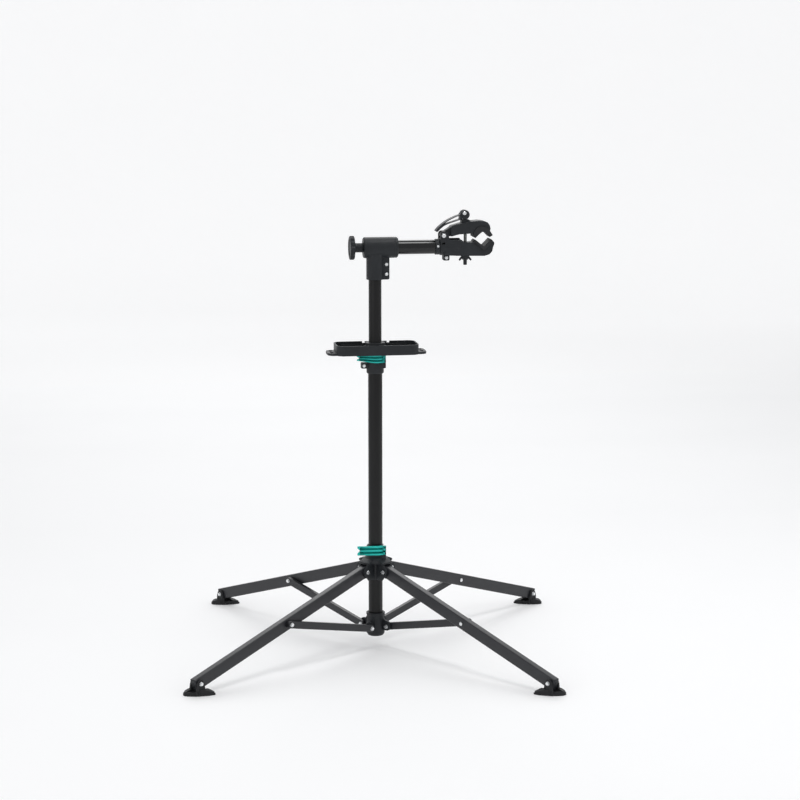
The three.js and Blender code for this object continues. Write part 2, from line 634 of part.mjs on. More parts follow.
// The moving jaw, slotted for the rod, with a saddle on top that the cam bears on.
function upperJaw() {
  const shape = new THREE.Shape();
  shape.absarc(JAW_PIVOT.x, JAW_PIVOT.y, 5.9, toRadians(120), toRadians(330));
  shape.lineTo(162.5, 880.4);
  shape.lineTo(176, 884.9);
  shape.lineTo(201.9, 886.6);
  shape.absarc(
    PAD_ARCH.x, PAD_ARCH.z, PAD_ARCH.r + GAP, toRadians(PAD_ARCH.from), toRadians(PAD_ARCH.to - 1), true,
  );
  shape.lineTo(242.2, 895);
  shape.quadraticCurveTo(236, 911.8, 218, 912.2);
  shape.lineTo(201, 910.7);
  shape.lineTo(180.4, 906.8);
  shape.lineTo(162, 901.6);
  shape.lineTo(151.3, 894.5);
  const jaw = standing(shape, -JAW_HALF_WIDTH, JAW_HALF_WIDTH, 5);
  const saddle = block([181.6, 204.5], [-9, 9], [902, 914.2]);
  const saddleEdge = standing(outline([[196, 916], [206, 916], [206, 907]]), -10, 10);
  const shoulders = [[CHEEK_GAP, 18], [-18, -CHEEK_GAP]].map(([y0, y1]) => block([130, 158.6], [y0, y1], [870, 905]));
  const slot = block([184.6, 206.6], [-3.7, 3.7], [880, 917]);
  const pivotHole = alongY(rod(BOLT_HOLE_R, -11, 11, 8)).translate(JAW_PIVOT.x, 0, JAW_PIVOT.y);
  return cut(join(jaw, cut(saddle, saddleEdge)), ...shoulders, slot, pivotHole);
}

function jawPivotBolt() {
  const nut = [-JAW_HALF_WIDTH - 3.6, -JAW_HALF_WIDTH - GAP];
  const head = [JAW_HALF_WIDTH + GAP, JAW_HALF_WIDTH + 3.6];
  return bolt(nut, head).translate(JAW_PIVOT.x, 0, JAW_PIVOT.y);
}

// The clamp's draw rod: an eye for the cam's pin on top and a plain tip below.
function drawRod() {
  const shank = turned([
    [0, 818.6], [3.2, 818.6], [3.9, 820], [3.9, 829], [ROD_R, 829], [ROD_R, 924], [0, 924],
  ], 12).translate(ROD_X, 0, 0);
  const eye = alongY(rod(5.5, -3.2, 3.2, 14)).translate(CAM_PIN_X, 0, CAM_PIN_Z);
  const hole = alongY(rod(2.8, -4, 4, 10)).translate(CAM_PIN_X, 0, CAM_PIN_Z);
  return cut(join(shank, eye), hole);
}

function camPin() {
  const profile = [
    [0, -12.4], [3, -12.4], [4.1, -11.4], [4.1, -10.3], [2.5, -10.3], [2.5, 10.3], [4.1, 10.3],
    [4.1, 12.2], [0, 12.2],
  ];
  return alongY(turned(profile, 12)).translate(CAM_PIN_X, 0, CAM_PIN_Z);
}

// A round cam set off its pin, and a curved lever with a long window.
function camLever() {
  const shape = outline([
    [182, 930], [179.4, 925], [167, 920.4], [155.3, 915], [147.5, 910.4], [140.8, 905.4],
    [133, 898.8], [126.3, 891], [130.1, 888.6], [137, 895.6], [144.6, 901.6], [150.8, 904.6],
    [157.2, 907], [168, 910.4], [180.8, 914.6], [186, 918],
  ]);
  const window = new THREE.Path([
    [146.2, 906.8], [154.2, 911.6], [163, 915.8], [171, 919], [178.4, 921.9], [178.4, 916.4],
    [169, 913.2], [158.6, 910], [151.4, 907.8],
  ].map(([x, z]) => new THREE.Vector2(x, z)));
  shape.holes.push(window);
  const strip = standing(shape, -CAM_HALF_WIDTH, CAM_HALF_WIDTH, 5);
  const cam = alongY(rod(CAM_R, -CAM_HALF_WIDTH, CAM_HALF_WIDTH, 18)).translate(CAM_PIN_X + 1.5, 0, CAM_PIN_Z - 3.1);
  const slot = block([180.4, 202], [-3.6, 3.6], [910, 940]);
  const hole = alongY(rod(2.8, -11, 11, 10)).translate(CAM_PIN_X, 0, CAM_PIN_Z);
  return cut(join(strip, cam), slot, hole);
}

function wingNut() {
  const hub = turned([[4.2, 829.6], [6.4, 829.6], [6.4, 834], [7.6, 838], [4.2, 838]], 12);
  const wing = standing(outline([[5.4, 837.6], [8, 837.4], [14, 830], [12, 826.8], [5.4, 833]]), -1.3, 1.3);
  const other = geometryOf(wing).rotateZ(Math.PI);
  return geometryOf(join(hub, wing, other)).translate(ROD_X, 0, 0);
}

// ---------------------------------------------------------------- assembly

place(stand, 'mast_outer_tube', outerTube(), 'mast_black');
place(stand, 'bottom_collar', bottomCollar(), 'nylon');
place(stand, 'upper_collar', upperCollar(), 'nylon');
place(stand, 'upper_pinch_bolt', pinchBolt(), 'zinc');
place(stand, 'upper_lever', clampLever(UPPER_LEVER_Z, UPPER_LEVER_HEIGHT), 'teal');
place(stand, 'upper_lever_pin', leverPin(608, UPPER_LEVER_Z + UPPER_LEVER_HEIGHT), 'zinc');
place(stand, 'tool_tray', toolTray(), 'nylon');

place(stand, 'leg_hub', legHub(), 'nylon');
place(stand, 'lower_lever', clampLever(LOWER_LEVER_Z, LOWER_LEVER_HEIGHT), 'teal');
place(stand, 'lower_lever_pin', leverPin(194, LOWER_LEVER_Z + LOWER_LEVER_HEIGHT), 'zinc');

const footHeight = HUB_PIVOT_Z - HUB_TO_FOOT * Math.sin(toRadians(LEG_SLOPE));
const footReach = HUB_PIVOT_R + HUB_TO_FOOT * Math.cos(toRadians(LEG_SLOPE));
const stay = stayLength();

eachLeg((azimuth, k) => {
  const number = k + 1;
  const quarter = new THREE.Group();
  quarter.rotation.z = azimuth;
  stand.add(quarter);

  const leg = place(quarter, `leg_${number}`, legTube(), 'leg_paint');
  leg.position.set(HUB_PIVOT_R, 0, HUB_PIVOT_Z);
  leg.rotation.y = toRadians(LEG_SLOPE);

  const hubBolt = place(quarter, `hub_bolt_${number}`, bolt([-15.8, -12.6], [12.6, 15.8]), 'zinc');
  hubBolt.position.set(HUB_PIVOT_R, 0, HUB_PIVOT_Z);

  const bar = place(quarter, `stay_${number}`, stayBar(stay.length), 'leg_paint');
  bar.position.set(STAY_PIVOT_R, 0, STAY_PIVOT_Z);
  bar.rotation.y = -stay.angle;

  const stayBolt = place(quarter, `stay_bolt_${number}`, bolt([0.9, 4.2], [17.3, 20.4]), 'zinc');
  stayBolt.position.set(STAY_PIVOT_R, 0, STAY_PIVOT_Z);

  const joint = place(quarter, `mid_bolt_${number}`, midBolt(), 'zinc');
  joint.position.set(
    STAY_PIVOT_R + stay.length * Math.cos(stay.angle), 0, STAY_PIVOT_Z + stay.length * Math.sin(stay.angle),
  );

  // The shoes are turned by turns to the right and to the left, so all four lie parallel.
  const lean = toRadians(k % 2 === 0 ? -FOOT_LEAN : FOOT_LEAN);
  const foot = place(quarter, `foot_${number}`, footShoe(footHeight, lean), 'rubber');
  foot.position.set(footReach, 0, footHeight);

  const footBolt = place(quarter, `foot_bolt_${number}`, bolt([-15.2, -12.2], [12.2, 15.2]), 'zinc');
  footBolt.position.set(footReach, 0, footHeight);
});

place(stand, 'guide_bush', guideBush(), 'nylon');
place(stand, 'mast_inner_tube', innerTube(), 'mast_black');
place(stand, 'arm_head', armHead(), 'nylon');
HEAD_SCREW_Z.forEach((z, i) => {
  const screw = place(stand, `head_screw_${i + 1}`, headScrew(), 'zinc');
  screw.position.set(HEAD_SCREW_X, 0, z);
});

const arm = new THREE.Group();
arm.position.z = ARM_Z;
stand.add(arm);
place(arm, 'arm_tube', armTube(), 'gloss_black');
place(arm, 'draw_stud', drawStud(), 'zinc');
place(arm, 'locking_knob', lockingKnob(), 'nylon');
place(arm, 'arm_stub', armStub(), 'zinc');
place(arm, 'end_ring', endRing(), 'nylon');
place(arm, 'ring_screw', ringScrew(), 'zinc');

place(stand, 'clamp_body', clampBody(), 'nylon');
const pinch = place(stand, 'clamp_pinch_bolt', bolt([-12.6, -9.3], [9.3, 12.6]), 'zinc');
pinch.position.set(LUG_BOLT.x, 0, LUG_BOLT.y);
place(stand, 'lower_pad', lowerPad(), 'rubber');
place(stand, 'upper_jaw', upperJaw(), 'nylon');
place(stand, 'upper_pad', upperPad(), 'rubber');
place(stand, 'jaw_pivot_bolt', jawPivotBolt(), 'zinc');
place(stand, 'draw_rod', drawRod(), 'zinc');
place(stand, 'cam_pin', camPin(), 'zinc');
place(stand, 'cam_lever', camLever(), 'nylon');
place(stand, 'wing_nut', wingNut(), 'nylon');

export default stand;
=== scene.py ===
# A folding repair stand for bicycles, put together from the floor up: mast, hub, legs and
# shoes, then the collar and the tray, and last the arm with its tube clamp.

import math

import bmesh
import bpy
from mathutils import Matrix, Vector


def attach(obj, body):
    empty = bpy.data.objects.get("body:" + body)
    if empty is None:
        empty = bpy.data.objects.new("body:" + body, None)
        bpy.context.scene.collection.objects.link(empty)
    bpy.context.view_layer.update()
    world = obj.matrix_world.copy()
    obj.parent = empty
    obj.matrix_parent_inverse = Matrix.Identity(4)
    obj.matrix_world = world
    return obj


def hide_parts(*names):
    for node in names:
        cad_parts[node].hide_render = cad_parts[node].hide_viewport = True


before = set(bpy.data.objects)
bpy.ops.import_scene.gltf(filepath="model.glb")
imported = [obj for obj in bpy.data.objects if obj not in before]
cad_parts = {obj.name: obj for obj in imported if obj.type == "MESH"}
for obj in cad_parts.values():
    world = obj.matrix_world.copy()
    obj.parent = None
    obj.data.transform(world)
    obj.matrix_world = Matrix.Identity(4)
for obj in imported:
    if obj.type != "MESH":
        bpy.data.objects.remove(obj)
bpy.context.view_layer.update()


# ---------------------------------------------------------------- lower mast tube
# A round steel tube, 30 mm across with a 1.2 mm wall, powder-coated satin black.
# It stands in the bottom collar, and the hub slides on it.

MM = 0.001
SHARP = math.radians(34)
TUBE_WALL = 1.2
OUTER_TUBE_R, OUTER_TUBE_FOOT, OUTER_TUBE_TOP = 15.0, 28.6, 612.0


class Wire:
    """A node's output that takes part in sums."""

    def __init__(self, tree, socket):
        self.tree = tree
        self.socket = socket

    def sum(self, operation, first, second):
        maths = self.tree.nodes.new("ShaderNodeMath")
        maths.operation = operation
        for slot, value in zip(maths.inputs, (first, second)):
            if isinstance(value, Wire):
                self.tree.links.new(value.socket, slot)
            else:
                slot.default_value = value
        return Wire(self.tree, maths.outputs[0])

    def __add__(self, other):
        return self.sum("ADD", self, other)

    def __radd__(self, other):
        return self.sum("ADD", other, self)

    def __sub__(self, other):
        return self.sum("SUBTRACT", self, other)

    def __rsub__(self, other):
        return self.sum("SUBTRACT", other, self)

    def __mul__(self, other):
        return self.sum("MULTIPLY", self, other)

    def __rmul__(self, other):
        return self.sum("MULTIPLY", other, self)


class Bench:
    """A node tree, with one way to put a node in it."""

    def __init__(self, tree):
        self.tree = tree

    def node(self, kind, settings, sockets, output=0):
        made = self.tree.nodes.new(kind)
        for name, value in settings.items():
            setattr(made, name, value)
        for name, value in sockets.items():
            for one in value if isinstance(value, list) else [value]:
                if isinstance(one, Wire):
                    self.tree.links.new(one.socket, made.inputs[name])
                else:
                    made.inputs[name].default_value = one
        return Wire(self.tree, made.outputs[output]) if made.outputs else None


class Finish(Bench):
    """A surface finish: a Principled shader whose bump rides on softly rounded edges."""

    def __init__(self, name):
        self.material = bpy.data.materials.new(name)
        self.material.use_nodes = True
        super().__init__(self.material.node_tree)
        self.tree.nodes.clear()
        self.place = self.node("ShaderNodeTexCoord", {}, {}, "Object")

    def grain(self, scale, detail=3.0, roughness=0.55):
        sockets = {"Vector": self.place, "Scale": scale, "Detail": detail, "Roughness": roughness}
        return self.node("ShaderNodeTexNoise", {}, sockets, "Fac")

    def blend(self, share, first, second):
        sockets = {0: share, 6: (*first, 1), 7: (*second, 1)}
        return self.node("ShaderNodeMix", {"data_type": "RGBA"}, sockets, 2)

    def worn_edges(self, radius, gain):
        """1 on a convex or concave edge and 0 on the flat."""
        soft = self.node("ShaderNodeBevel", {"samples": 4}, {"Radius": radius}, "Normal")
        flat = self.node("ShaderNodeNewGeometry", {}, {}, "Normal")
        same = self.node("ShaderNodeVectorMath", {"operation": "DOT_PRODUCT"}, {0: soft, 1: flat}, "Value")
        edge = (1.0 - same) * gain
        return self.node("ShaderNodeClamp", {}, {"Value": edge})

    def surface(self, relief, strength, edge=0.0006, depth=0.0004, **shader):
        rounded = self.node("ShaderNodeBevel", {"samples": 4}, {"Radius": edge}, "Normal")
        bump = self.node("ShaderNodeBump", {}, {
            "Height": relief, "Strength": strength, "Distance": depth, "Normal": rounded,
        })
        names = {key.replace("_", " ").title().replace("Ior", "IOR"): value for key, value in shader.items()}
        shell = self.node("ShaderNodeBsdfPrincipled", {}, {"Normal": bump, **names})
        self.node("ShaderNodeOutputMaterial", {}, {"Surface": shell})
        return self.material


def black_coat():
    coat = Finish("satin_black_coat")
    orange_peel = coat.grain(900.0)
    handled = coat.grain(18.0, 4.0)
    return coat.surface(
        orange_peel, 0.22, base_color=coat.blend(handled, (0.005, 0.005, 0.0054), (0.009, 0.009, 0.0095)),
        roughness=0.3 + handled * 0.12, specular_ior_level=0.28,
    )


def round_off(points, radius, steps=5, closed=True):
    """The corners of an outline turned into short curves."""
    smooth = []
    count = len(points)
    for i, here in enumerate(points):
        if not closed and i in (0, count - 1):
            smooth.append(tuple(here))
            continue
        here = Vector(here)
        before = Vector(points[i - 1]) - here
        after = Vector(points[(i + 1) % count]) - here
        turn = before.angle(after, math.pi)
        reach = min(radius / max(math.tan(turn / 2), 0.05), 0.45 * before.length, 0.45 * after.length)
        if turn > math.radians(172):
            smooth.append(tuple(here))
            continue
        start = here + before.normalized() * reach
        end = here + after.normalized() * reach
        for k in range(steps + 1):
            t = k / steps
            smooth.append(tuple((1 - t) ** 2 * start + 2 * t * (1 - t) * here + t * t * end))
    return smooth


def lathe(shape, profile, radius=0.8, where=Matrix(), sides=72):
    """A profile of (radius, height) points, its corners rounded, turned about Z."""
    on_axis = profile[0][0] == 0
    points = round_off(profile, radius, 3, closed=not on_axis)
    rings = []
    for r, z in points:
        if r < 1e-6:
            rings.append([shape.verts.new(where @ Vector((0, 0, z)))])
            continue
        turns = [2 * math.pi * k / sides for k in range(sides)]
        rings.append([shape.verts.new(where @ Vector((r * math.cos(t), r * math.sin(t), z))) for t in turns])
    pairs = list(zip(rings, rings[1:]))
    if not on_axis:
        pairs.append((rings[-1], rings[0]))
    for low, high in pairs:
        for k in range(sides):
            after = (k + 1) % sides
            if len(low) == 1 and len(high) == 1:
                break
            if len(low) == 1:
                shape.faces.new((low[0], high[k], high[after]))
            elif len(high) == 1:
                shape.faces.new((low[k], high[0], low[after]))
            else:
                shape.faces.new((low[k], high[k], high[after], low[after]))


def piece(name, shape, body, slot, finish, *stands_for):
    """Makes the shape, drawn in millimetres, a piece that rides on a body."""
    bmesh.ops.remove_doubles(shape, verts=shape.verts, dist=0.002)
    bmesh.ops.recalc_face_normals(shape, faces=shape.faces)
    bmesh.ops.scale(shape, vec=(MM, MM, MM), verts=shape.verts)
    for edge in shape.edges:
        edge.smooth = len(edge.link_faces) != 2 or edge.calc_face_angle(0) < SHARP
    for face in shape.faces:
        face.smooth = True
    mesh = bpy.data.meshes.new(name)
    shape.to_mesh(mesh)
    shape.free()
    made = bpy.data.objects.new(name, mesh)
    bpy.context.collection.objects.link(made)
    made.data.materials.append(finish)
    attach(made, body)
    if stands_for:
        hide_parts(*stands_for)
    return made


def tube_profile(outer, inner, foot, top):
    return [(inner, foot), (outer, foot), (outer, top), (inner, top)]


BLACK_COAT = black_coat()
tube = bmesh.new()
lathe(
    tube, tube_profile(OUTER_TUBE_R, OUTER_TUBE_R - TUBE_WALL, OUTER_TUBE_FOOT, OUTER_TUBE_TOP), 0.3,
    sides=96,
)
piece("lower_mast_tube", tube, "standing_mast", "mast_black", BLACK_COAT, "mast_outer_tube")


# ---------------------------------------------------------------- bottom collar
# A moulded cup of dark grey glass-filled nylon under the mast. Four pairs of webs carry
# the lugs that the stays turn on, and a raised rim stiffens its mouth.

COLLAR_R, COLLAR_FOOT, COLLAR_MOUTH = 19.25, 25.0, 75.0
LEG_AZIMUTHS = [math.radians(36.64 + 90 * k) for k in range(4)]
STAY_PIVOT = (28.0, 46.0)
STANDING = Matrix.Rotation(math.radians(90), 4, "X")


def moulded_nylon():
    nylon = Finish("moulded_nylon")
    spark = nylon.grain(1400.0, 2.0, 0.7)
    flow = nylon.grain(35.0, 5.0)
    edge = nylon.worn_edges(0.0009, 1.6)
    share = nylon.node("ShaderNodeClamp", {}, {"Value": flow * 0.55 + edge * 0.5})
    return nylon.surface(
        spark, 0.38, 0.0009, base_color=nylon.blend(share, (0.0095, 0.011, 0.013), (0.031, 0.0355, 0.041)),
        roughness=0.38 + spark * 0.2, specular_ior_level=0.3,
    )


def arc(centre, radius, start, end, steps=12):
    """Points on a circle, the angles in degrees."""
    turns = [math.radians(start + (end - start) * k / steps) for k in range(steps + 1)]
    return [(centre[0] + radius * math.cos(t), centre[1] + radius * math.sin(t)) for t in turns]


def plate(shape, outline, low, high, edge=0.8, where=Matrix()):
    """A plate of any outline between two heights, with its two rims rounded."""
    part = bmesh.new()
    foot = [part.verts.new((x, y, low)) for x, y in outline]
    top = [part.verts.new((x, y, high)) for x, y in outline]
    caps = [part.faces.new(foot[::-1]), part.faces.new(top)]
    for k in range(len(outline)):
        after = (k + 1) % len(outline)
        part.faces.new((foot[k], foot[after], top[after], top[k]))
    if edge:
        rims = list({rim for cap in caps for rim in cap.edges})
        bmesh.ops.bevel(
            part, geom=rims, offset=edge, offset_type="OFFSET", segments=3, profile=0.5,
            affect="EDGES", clamp_overlap=True,
        )
    mesh = bpy.data.meshes.new("part")
    part.transform(where)
    part.to_mesh(mesh)
    part.free()
    shape.from_mesh(mesh)
    bpy.data.meshes.remove(mesh)


def upright(shape, outline, near, far, edge=0.8, where=Matrix()):
    """A plate whose outline is drawn in X and Z, between two places on Y."""
    plate(shape, outline, -far, -near, edge, where @ STANDING)


def round_bar(shape, radius, low, high, where=Matrix(), edge=0.4, sides=32):
    lathe(shape, [(0, low), (radius, low), (radius, high), (0, high)], edge, where, sides)


def carved(shape, *cutters):
    """The shape with its overlapping bodies joined and the cutters taken away."""
    stock = []
    for part in (shape, *cutters):
        bmesh.ops.recalc_face_normals(part, faces=part.faces)
        mesh = bpy.data.meshes.new("stock")
        part.to_mesh(mesh)
        part.free()
        stock.append(bpy.data.objects.new("stock", mesh))
        bpy.context.collection.objects.link(stock[-1])
    for cutter in stock[1:]:
        cut = stock[0].modifiers.new("cut", "BOOLEAN")
        cut.operation = "DIFFERENCE"
        cut.solver = "EXACT"
        cut.use_self = True
        cut.object = cutter
    bpy.context.view_layer.update()
    evaluated = stock[0].evaluated_get(bpy.context.evaluated_depsgraph_get())
    mesh = bpy.data.meshes.new_from_object(evaluated)
    result = bmesh.new()
    result.from_mesh(mesh)
    bpy.data.meshes.remove(mesh)
    for used in stock:
        used_mesh = used.data
        bpy.data.objects.remove(used)
        bpy.data.meshes.remove(used_mesh)
    return result


def turn_z(azimuth):
    return Matrix.Rotation(azimuth, 4, "Z")


NYLON = moulded_nylon()
collar = bmesh.new()
lathe(collar, [
    (0, COLLAR_FOOT), (16.5, COLLAR_FOOT), (COLLAR_R, COLLAR_FOOT + 5), (COLLAR_R, COLLAR_MOUTH - 5),
    (COLLAR_R + 0.75, COLLAR_MOUTH - 5), (COLLAR_R + 0.75, COLLAR_MOUTH), (15.3, COLLAR_MOUTH),
    (15.3, COLLAR_FOOT + 3.4), (0, COLLAR_FOOT + 3.4),
], 0.9, sides=96)
LUG = [(16.2, 61), (16.2, 36)] + arc((STAY_PIVOT[0], STAY_PIVOT[1] + 2), 10.5, -90, 90, 20)
for azimuth in LEG_AZIMUTHS:
    upright(collar, LUG, 4.5, 8.7, 0.6, turn_z(azimuth))
    upright(collar, [(17, 70), (17, 30), (20.6, 36), (20.6, 64)], -1.2, 1.2, 0.5, turn_z(azimuth + 0.75))
piece("bottom_collar_cup", collar, "standing_mast", "nylon", NYLON, "bottom_collar")


# ---------------------------------------------------------------- bolts of the stays
# Zinc-plated hex bolts with a washer under the head and a nut at the other end. The
# same tree makes every bolt on the stand, from one point for each.

BOLT_SIZES = ("Nut Face", "Nut Inside", "Head Inside", "Head Top", "Head Radius", "Shank Radius")


def zinc_plate():
    zinc = Finish("zinc_plate")
    brushed = zinc.grain(700.0, 4.0, 0.7)
    stain = zinc.grain(60.0, 3.0)
    return zinc.surface(
        brushed, 0.12, 0.0003, base_color=zinc.blend(stain, (0.74, 0.76, 0.77), (0.92, 0.93, 0.94)),
        roughness=0.16 + brushed * 0.2, metallic=1.0,
    )


def bolt_tree(finish):
    tree = bpy.data.node_groups.new("hex_bolts", "GeometryNodeTree")
    tree.interface.new_socket("Points", in_out="INPUT", socket_type="NodeSocketGeometry")
    for size in BOLT_SIZES:
        tree.interface.new_socket(size, in_out="INPUT", socket_type="NodeSocketFloat")
    tree.interface.new_socket("Bolts", in_out="OUTPUT", socket_type="NodeSocketGeometry")
    bench = Bench(tree)
    entry = tree.nodes.new("NodeGroupInput")
    points, nut_face, nut_inside, head_inside, head_top, head_r, shank_r = [
        Wire(tree, socket) for socket in entry.outputs[:7]
    ]

    def drum(sides, radius, low, high):
        solid = bench.node("GeometryNodeMeshCylinder", {"fill_type": "NGON"}, {
            "Vertices": sides, "Radius": radius, "Depth": high - low,
        })
        middle = bench.node("ShaderNodeCombineXYZ", {}, {"Z": (high + low) * 0.5})
        return bench.node("GeometryNodeTransform", {}, {"Geometry": solid, "Translation": middle})

    parts = [
        drum(24, shank_r, nut_face - 0.0006, head_inside + 0.001),
        drum(6, head_r, nut_face, nut_inside - 0.0005),
        drum(28, head_r * 1.12, nut_inside - 0.0006, nut_inside),
        drum(28, head_r * 1.12, head_inside, head_inside + 0.0006),
        drum(6, head_r, head_inside + 0.0005, head_top - 0.0004),
        drum(24, head_r * 0.8, head_top - 0.0005, head_top),
    ]
    bolt = bench.node("GeometryNodeJoinGeometry", {}, {"Geometry": parts})
    lying = bench.node("GeometryNodeTransform", {}, {
        "Geometry": bolt, "Rotation": (math.radians(-90), 0, 0),
    })
    turn = bench.node("GeometryNodeInputNamedAttribute", {"data_type": "FLOAT"}, {"Name": "turn"})
    aim = bench.node("ShaderNodeCombineXYZ", {}, {"Z": turn})
    placed = bench.node("GeometryNodeInstanceOnPoints", {}, {
        "Points": points, "Instance": lying, "Rotation": aim,
    })
    real = bench.node("GeometryNodeRealizeInstances", {}, {"Geometry": placed})
    plated = bench.node("GeometryNodeSetMaterial", {}, {"Geometry": real, "Material": finish})
    leave = tree.nodes.new("NodeGroupOutput")
    tree.links.new(plated.socket, leave.inputs[0])
    return tree


def set_bolts(name, spots, sizes, body, *stands_for):
    """Bolts at (point, azimuth) spots: nut face, nut inside, head inside, head top, radii."""
    mesh = bpy.data.meshes.new(name)
    mesh.from_pydata([[c * MM for c in at] for at, _ in spots], [], [])
    turns = mesh.attributes.new("turn", "FLOAT", "POINT")
    for slot, (_, azimuth) in zip(turns.data, spots):
        slot.value = azimuth
    carrier = bpy.data.objects.new(name, mesh)
    bpy.context.collection.objects.link(carrier)
    maker = carrier.modifiers.new("bolts", "NODES")
    maker.node_group = BOLT_TREE
    inputs = {item.name: item.identifier for item in BOLT_TREE.interface.items_tree if item.in_out == "INPUT"}
    for size, value in zip(BOLT_SIZES, sizes):
        maker[inputs[size]] = value * MM
    bpy.context.view_layer.update()
    evaluated = carrier.evaluated_get(bpy.context.evaluated_depsgraph_get())
    made = bpy.data.meshes.new_from_object(evaluated)
    carrier.modifiers.clear()
    bpy.data.objects.remove(carrier)
    bolts = bpy.data.objects.new(name, made)
    bpy.context.collection.objects.link(bolts)
    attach(bolts, body)
    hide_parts(*stands_for)
    return bolts


def round_about(radius, height):
    """The same spot beside each leg, with the leg's own azimuth."""
    return [((radius * math.cos(a), radius * math.sin(a), height), a) for a in LEG_AZIMUTHS]


ZINC = zinc_plate()
BOLT_TREE = bolt_tree(ZINC)
set_bolts(
    "stay_bolts", round_about(*STAY_PIVOT), (0.9, 4.2, 17.3, 20.6, 3.8, 3.0), "standing_mast",
    *[f"stay_bolt_{k}" for k in range(1, 5)],
)


# ---------------------------------------------------------------- leg hub
# A nylon sleeve that slides on the mast under a sloping cap. Each leg turns between two
# cheeks on a hex bolt, and a ledge on the neck carries the lever's pin.

HUB_PIVOT = (35.0, 169.5)
HUB_NECK_R = 18.8
LEVER_PIN = (15.6, -18.5)
LEVER_AZIMUTH = math.degrees(math.atan2(LEVER_PIN[1], LEVER_PIN[0]))


def lever_ledge(shape, low, high, body_r):
    """The ledge under a lever's eye, run out from the round body."""
    out = math.radians(LEVER_AZIMUTH)
    start = [(0.86 * body_r * math.cos(out + t), 0.86 * body_r * math.sin(out + t)) for t in (0.5, -0.5)]
    plate(shape, start + arc(LEVER_PIN, 4.6, LEVER_AZIMUTH - 90, LEVER_AZIMUTH + 90), low, high, 0.6)


hub = bmesh.new()
lathe(hub, [
    (15.35, 149), (17.8, 149), (HUB_NECK_R, 151), (HUB_NECK_R, 185.6), (38, 185.6), (38, 189.5),
    (24, 195), (HUB_NECK_R + 0.2, 199.5), (HUB_NECK_R, 221), (17.8, 222.5), (15.35, 222.5),
], 1.1, sides=96)
scallops = bmesh.new()
for azimuth in LEG_AZIMUTHS:
    between_legs = turn_z(azimuth + math.radians(45)) @ Matrix.Translation((40, 0, 0))
    round_bar(scallops, 14, 184, 201, between_legs, sides=64)
hub = carved(hub, scallops)
CHEEK = [(16.4, 187), (16.4, 150), (30, 150)] + arc(HUB_PIVOT, 10.5, -75, 70) + [(34, 187)]
for azimuth in LEG_AZIMUTHS:
    for near in (-12.3, 7.8):
        upright(hub, round_off(CHEEK, 1.0, 2), near, near + 4.5, 0.7, turn_z(azimuth))
    middle = turn_z(azimuth + math.radians(45))
    upright(hub, [(18, 186), (18, 160), (20.4, 160), (24.6, 186)], -1.4, 1.4, 0.5, middle)
lever_ledge(hub, 192, 204.1, HUB_NECK_R)
piece("leg_hub_body", hub, "sliding_hub", "nylon", NYLON, "leg_hub")
set_bolts(
    "hub_bolts", round_about(*HUB_PIVOT), (-15.8, -12.5, 12.5, 15.8, 3.7, 3.0), "sliding_hub",
    *[f"hub_bolt_{k}" for k in range(1, 5)],
)


# ---------------------------------------------------------------- clamp levers
# Teal nylon levers with three fins on a web. One squeezes the hub on the mast, the other
# the upper collar on the inner tube; each turns on a zinc-plated pin.

LEVER_TIP = (-40.0, -16.5)


def teal_nylon():
    teal = Finish("teal_nylon")
    spark = teal.grain(1300.0, 2.0)
    flow = teal.grain(40.0, 4.0)
    edge = teal.worn_edges(0.0008, 1.2)
    share = teal.node("ShaderNodeClamp", {}, {"Value": flow * 0.5 + edge * 0.6})
    return teal.surface(
        spark, 0.2, 0.0007, base_color=teal.blend(share, (0.0, 0.47, 0.41), (0.035, 0.68, 0.61)),
        roughness=0.34 + spark * 0.16, specular_ior_level=0.4,
    )


def lever_outline(outer_r, tip_width):
    eye = arc(LEVER_PIN, 4.6, LEVER_AZIMUTH - 69, LEVER_AZIMUTH + 160, 16)
    inside = arc((0, 0), 19.5, LEVER_AZIMUTH - 7, -101, 14)
    outside = arc((0, 0), outer_r, -101, LEVER_AZIMUTH - 14.5, 14)
    return eye + inside + [LEVER_TIP, (LEVER_TIP[0] - 1.5, LEVER_TIP[1] - tip_width)] + outside


def clamp_lever(name, low, height, narrowing, body, node):
    """A lever whose grip loses that share of its height towards the tip."""
    lever = bmesh.new()
    plate(lever, lever_outline(21.7, 1.6), low + 0.3, low + height - 0.3, 0.3)
    for share in (0, 0.41, 0.82):
        fin = low + share * height
        plate(lever, lever_outline(24.5, 4.4), fin, fin + 0.18 * height, 0.9)
    grip = [(-36.4, -17.1), (-39.6, -16.6), (-41, -20.8), (-36.4, -21.9)]
    plate(lever, grip, low + 0.3, low + height - 0.3, 0.8)
    tail = bmesh.new()
    upright(tail, [(-46, low - 0.2), (-35.4, low + height / 2), (-46, low + height + 0.2)], -30, 0, 0)
    hole = bmesh.new()
    round_bar(hole, 2.4, low - 2, low + height + 2, Matrix.Translation((*LEVER_PIN, 0)))
    lever = carved(lever, hole, tail)
    for corner in lever.verts:
        along = min(max((-8 - corner.co.x) / 33, 0), 1)
        corner.co.z += narrowing * along * (low + height - corner.co.z)
    piece(name, lever, body, "teal", TEAL, node)


def lever_pin(name, foot, top, body, node):
    pin = bmesh.new()
    where = Matrix.Translation((*LEVER_PIN, 0))
    profile = [(0, foot), (2.2, foot), (2.2, top + 0.3), (3.6, top + 0.3), (3.6, top + 1.3), (0, top + 1.3)]
    lathe(pin, profile, 0.3, where, 32)
    piece(name, pin, body, "zinc", ZINC, node)


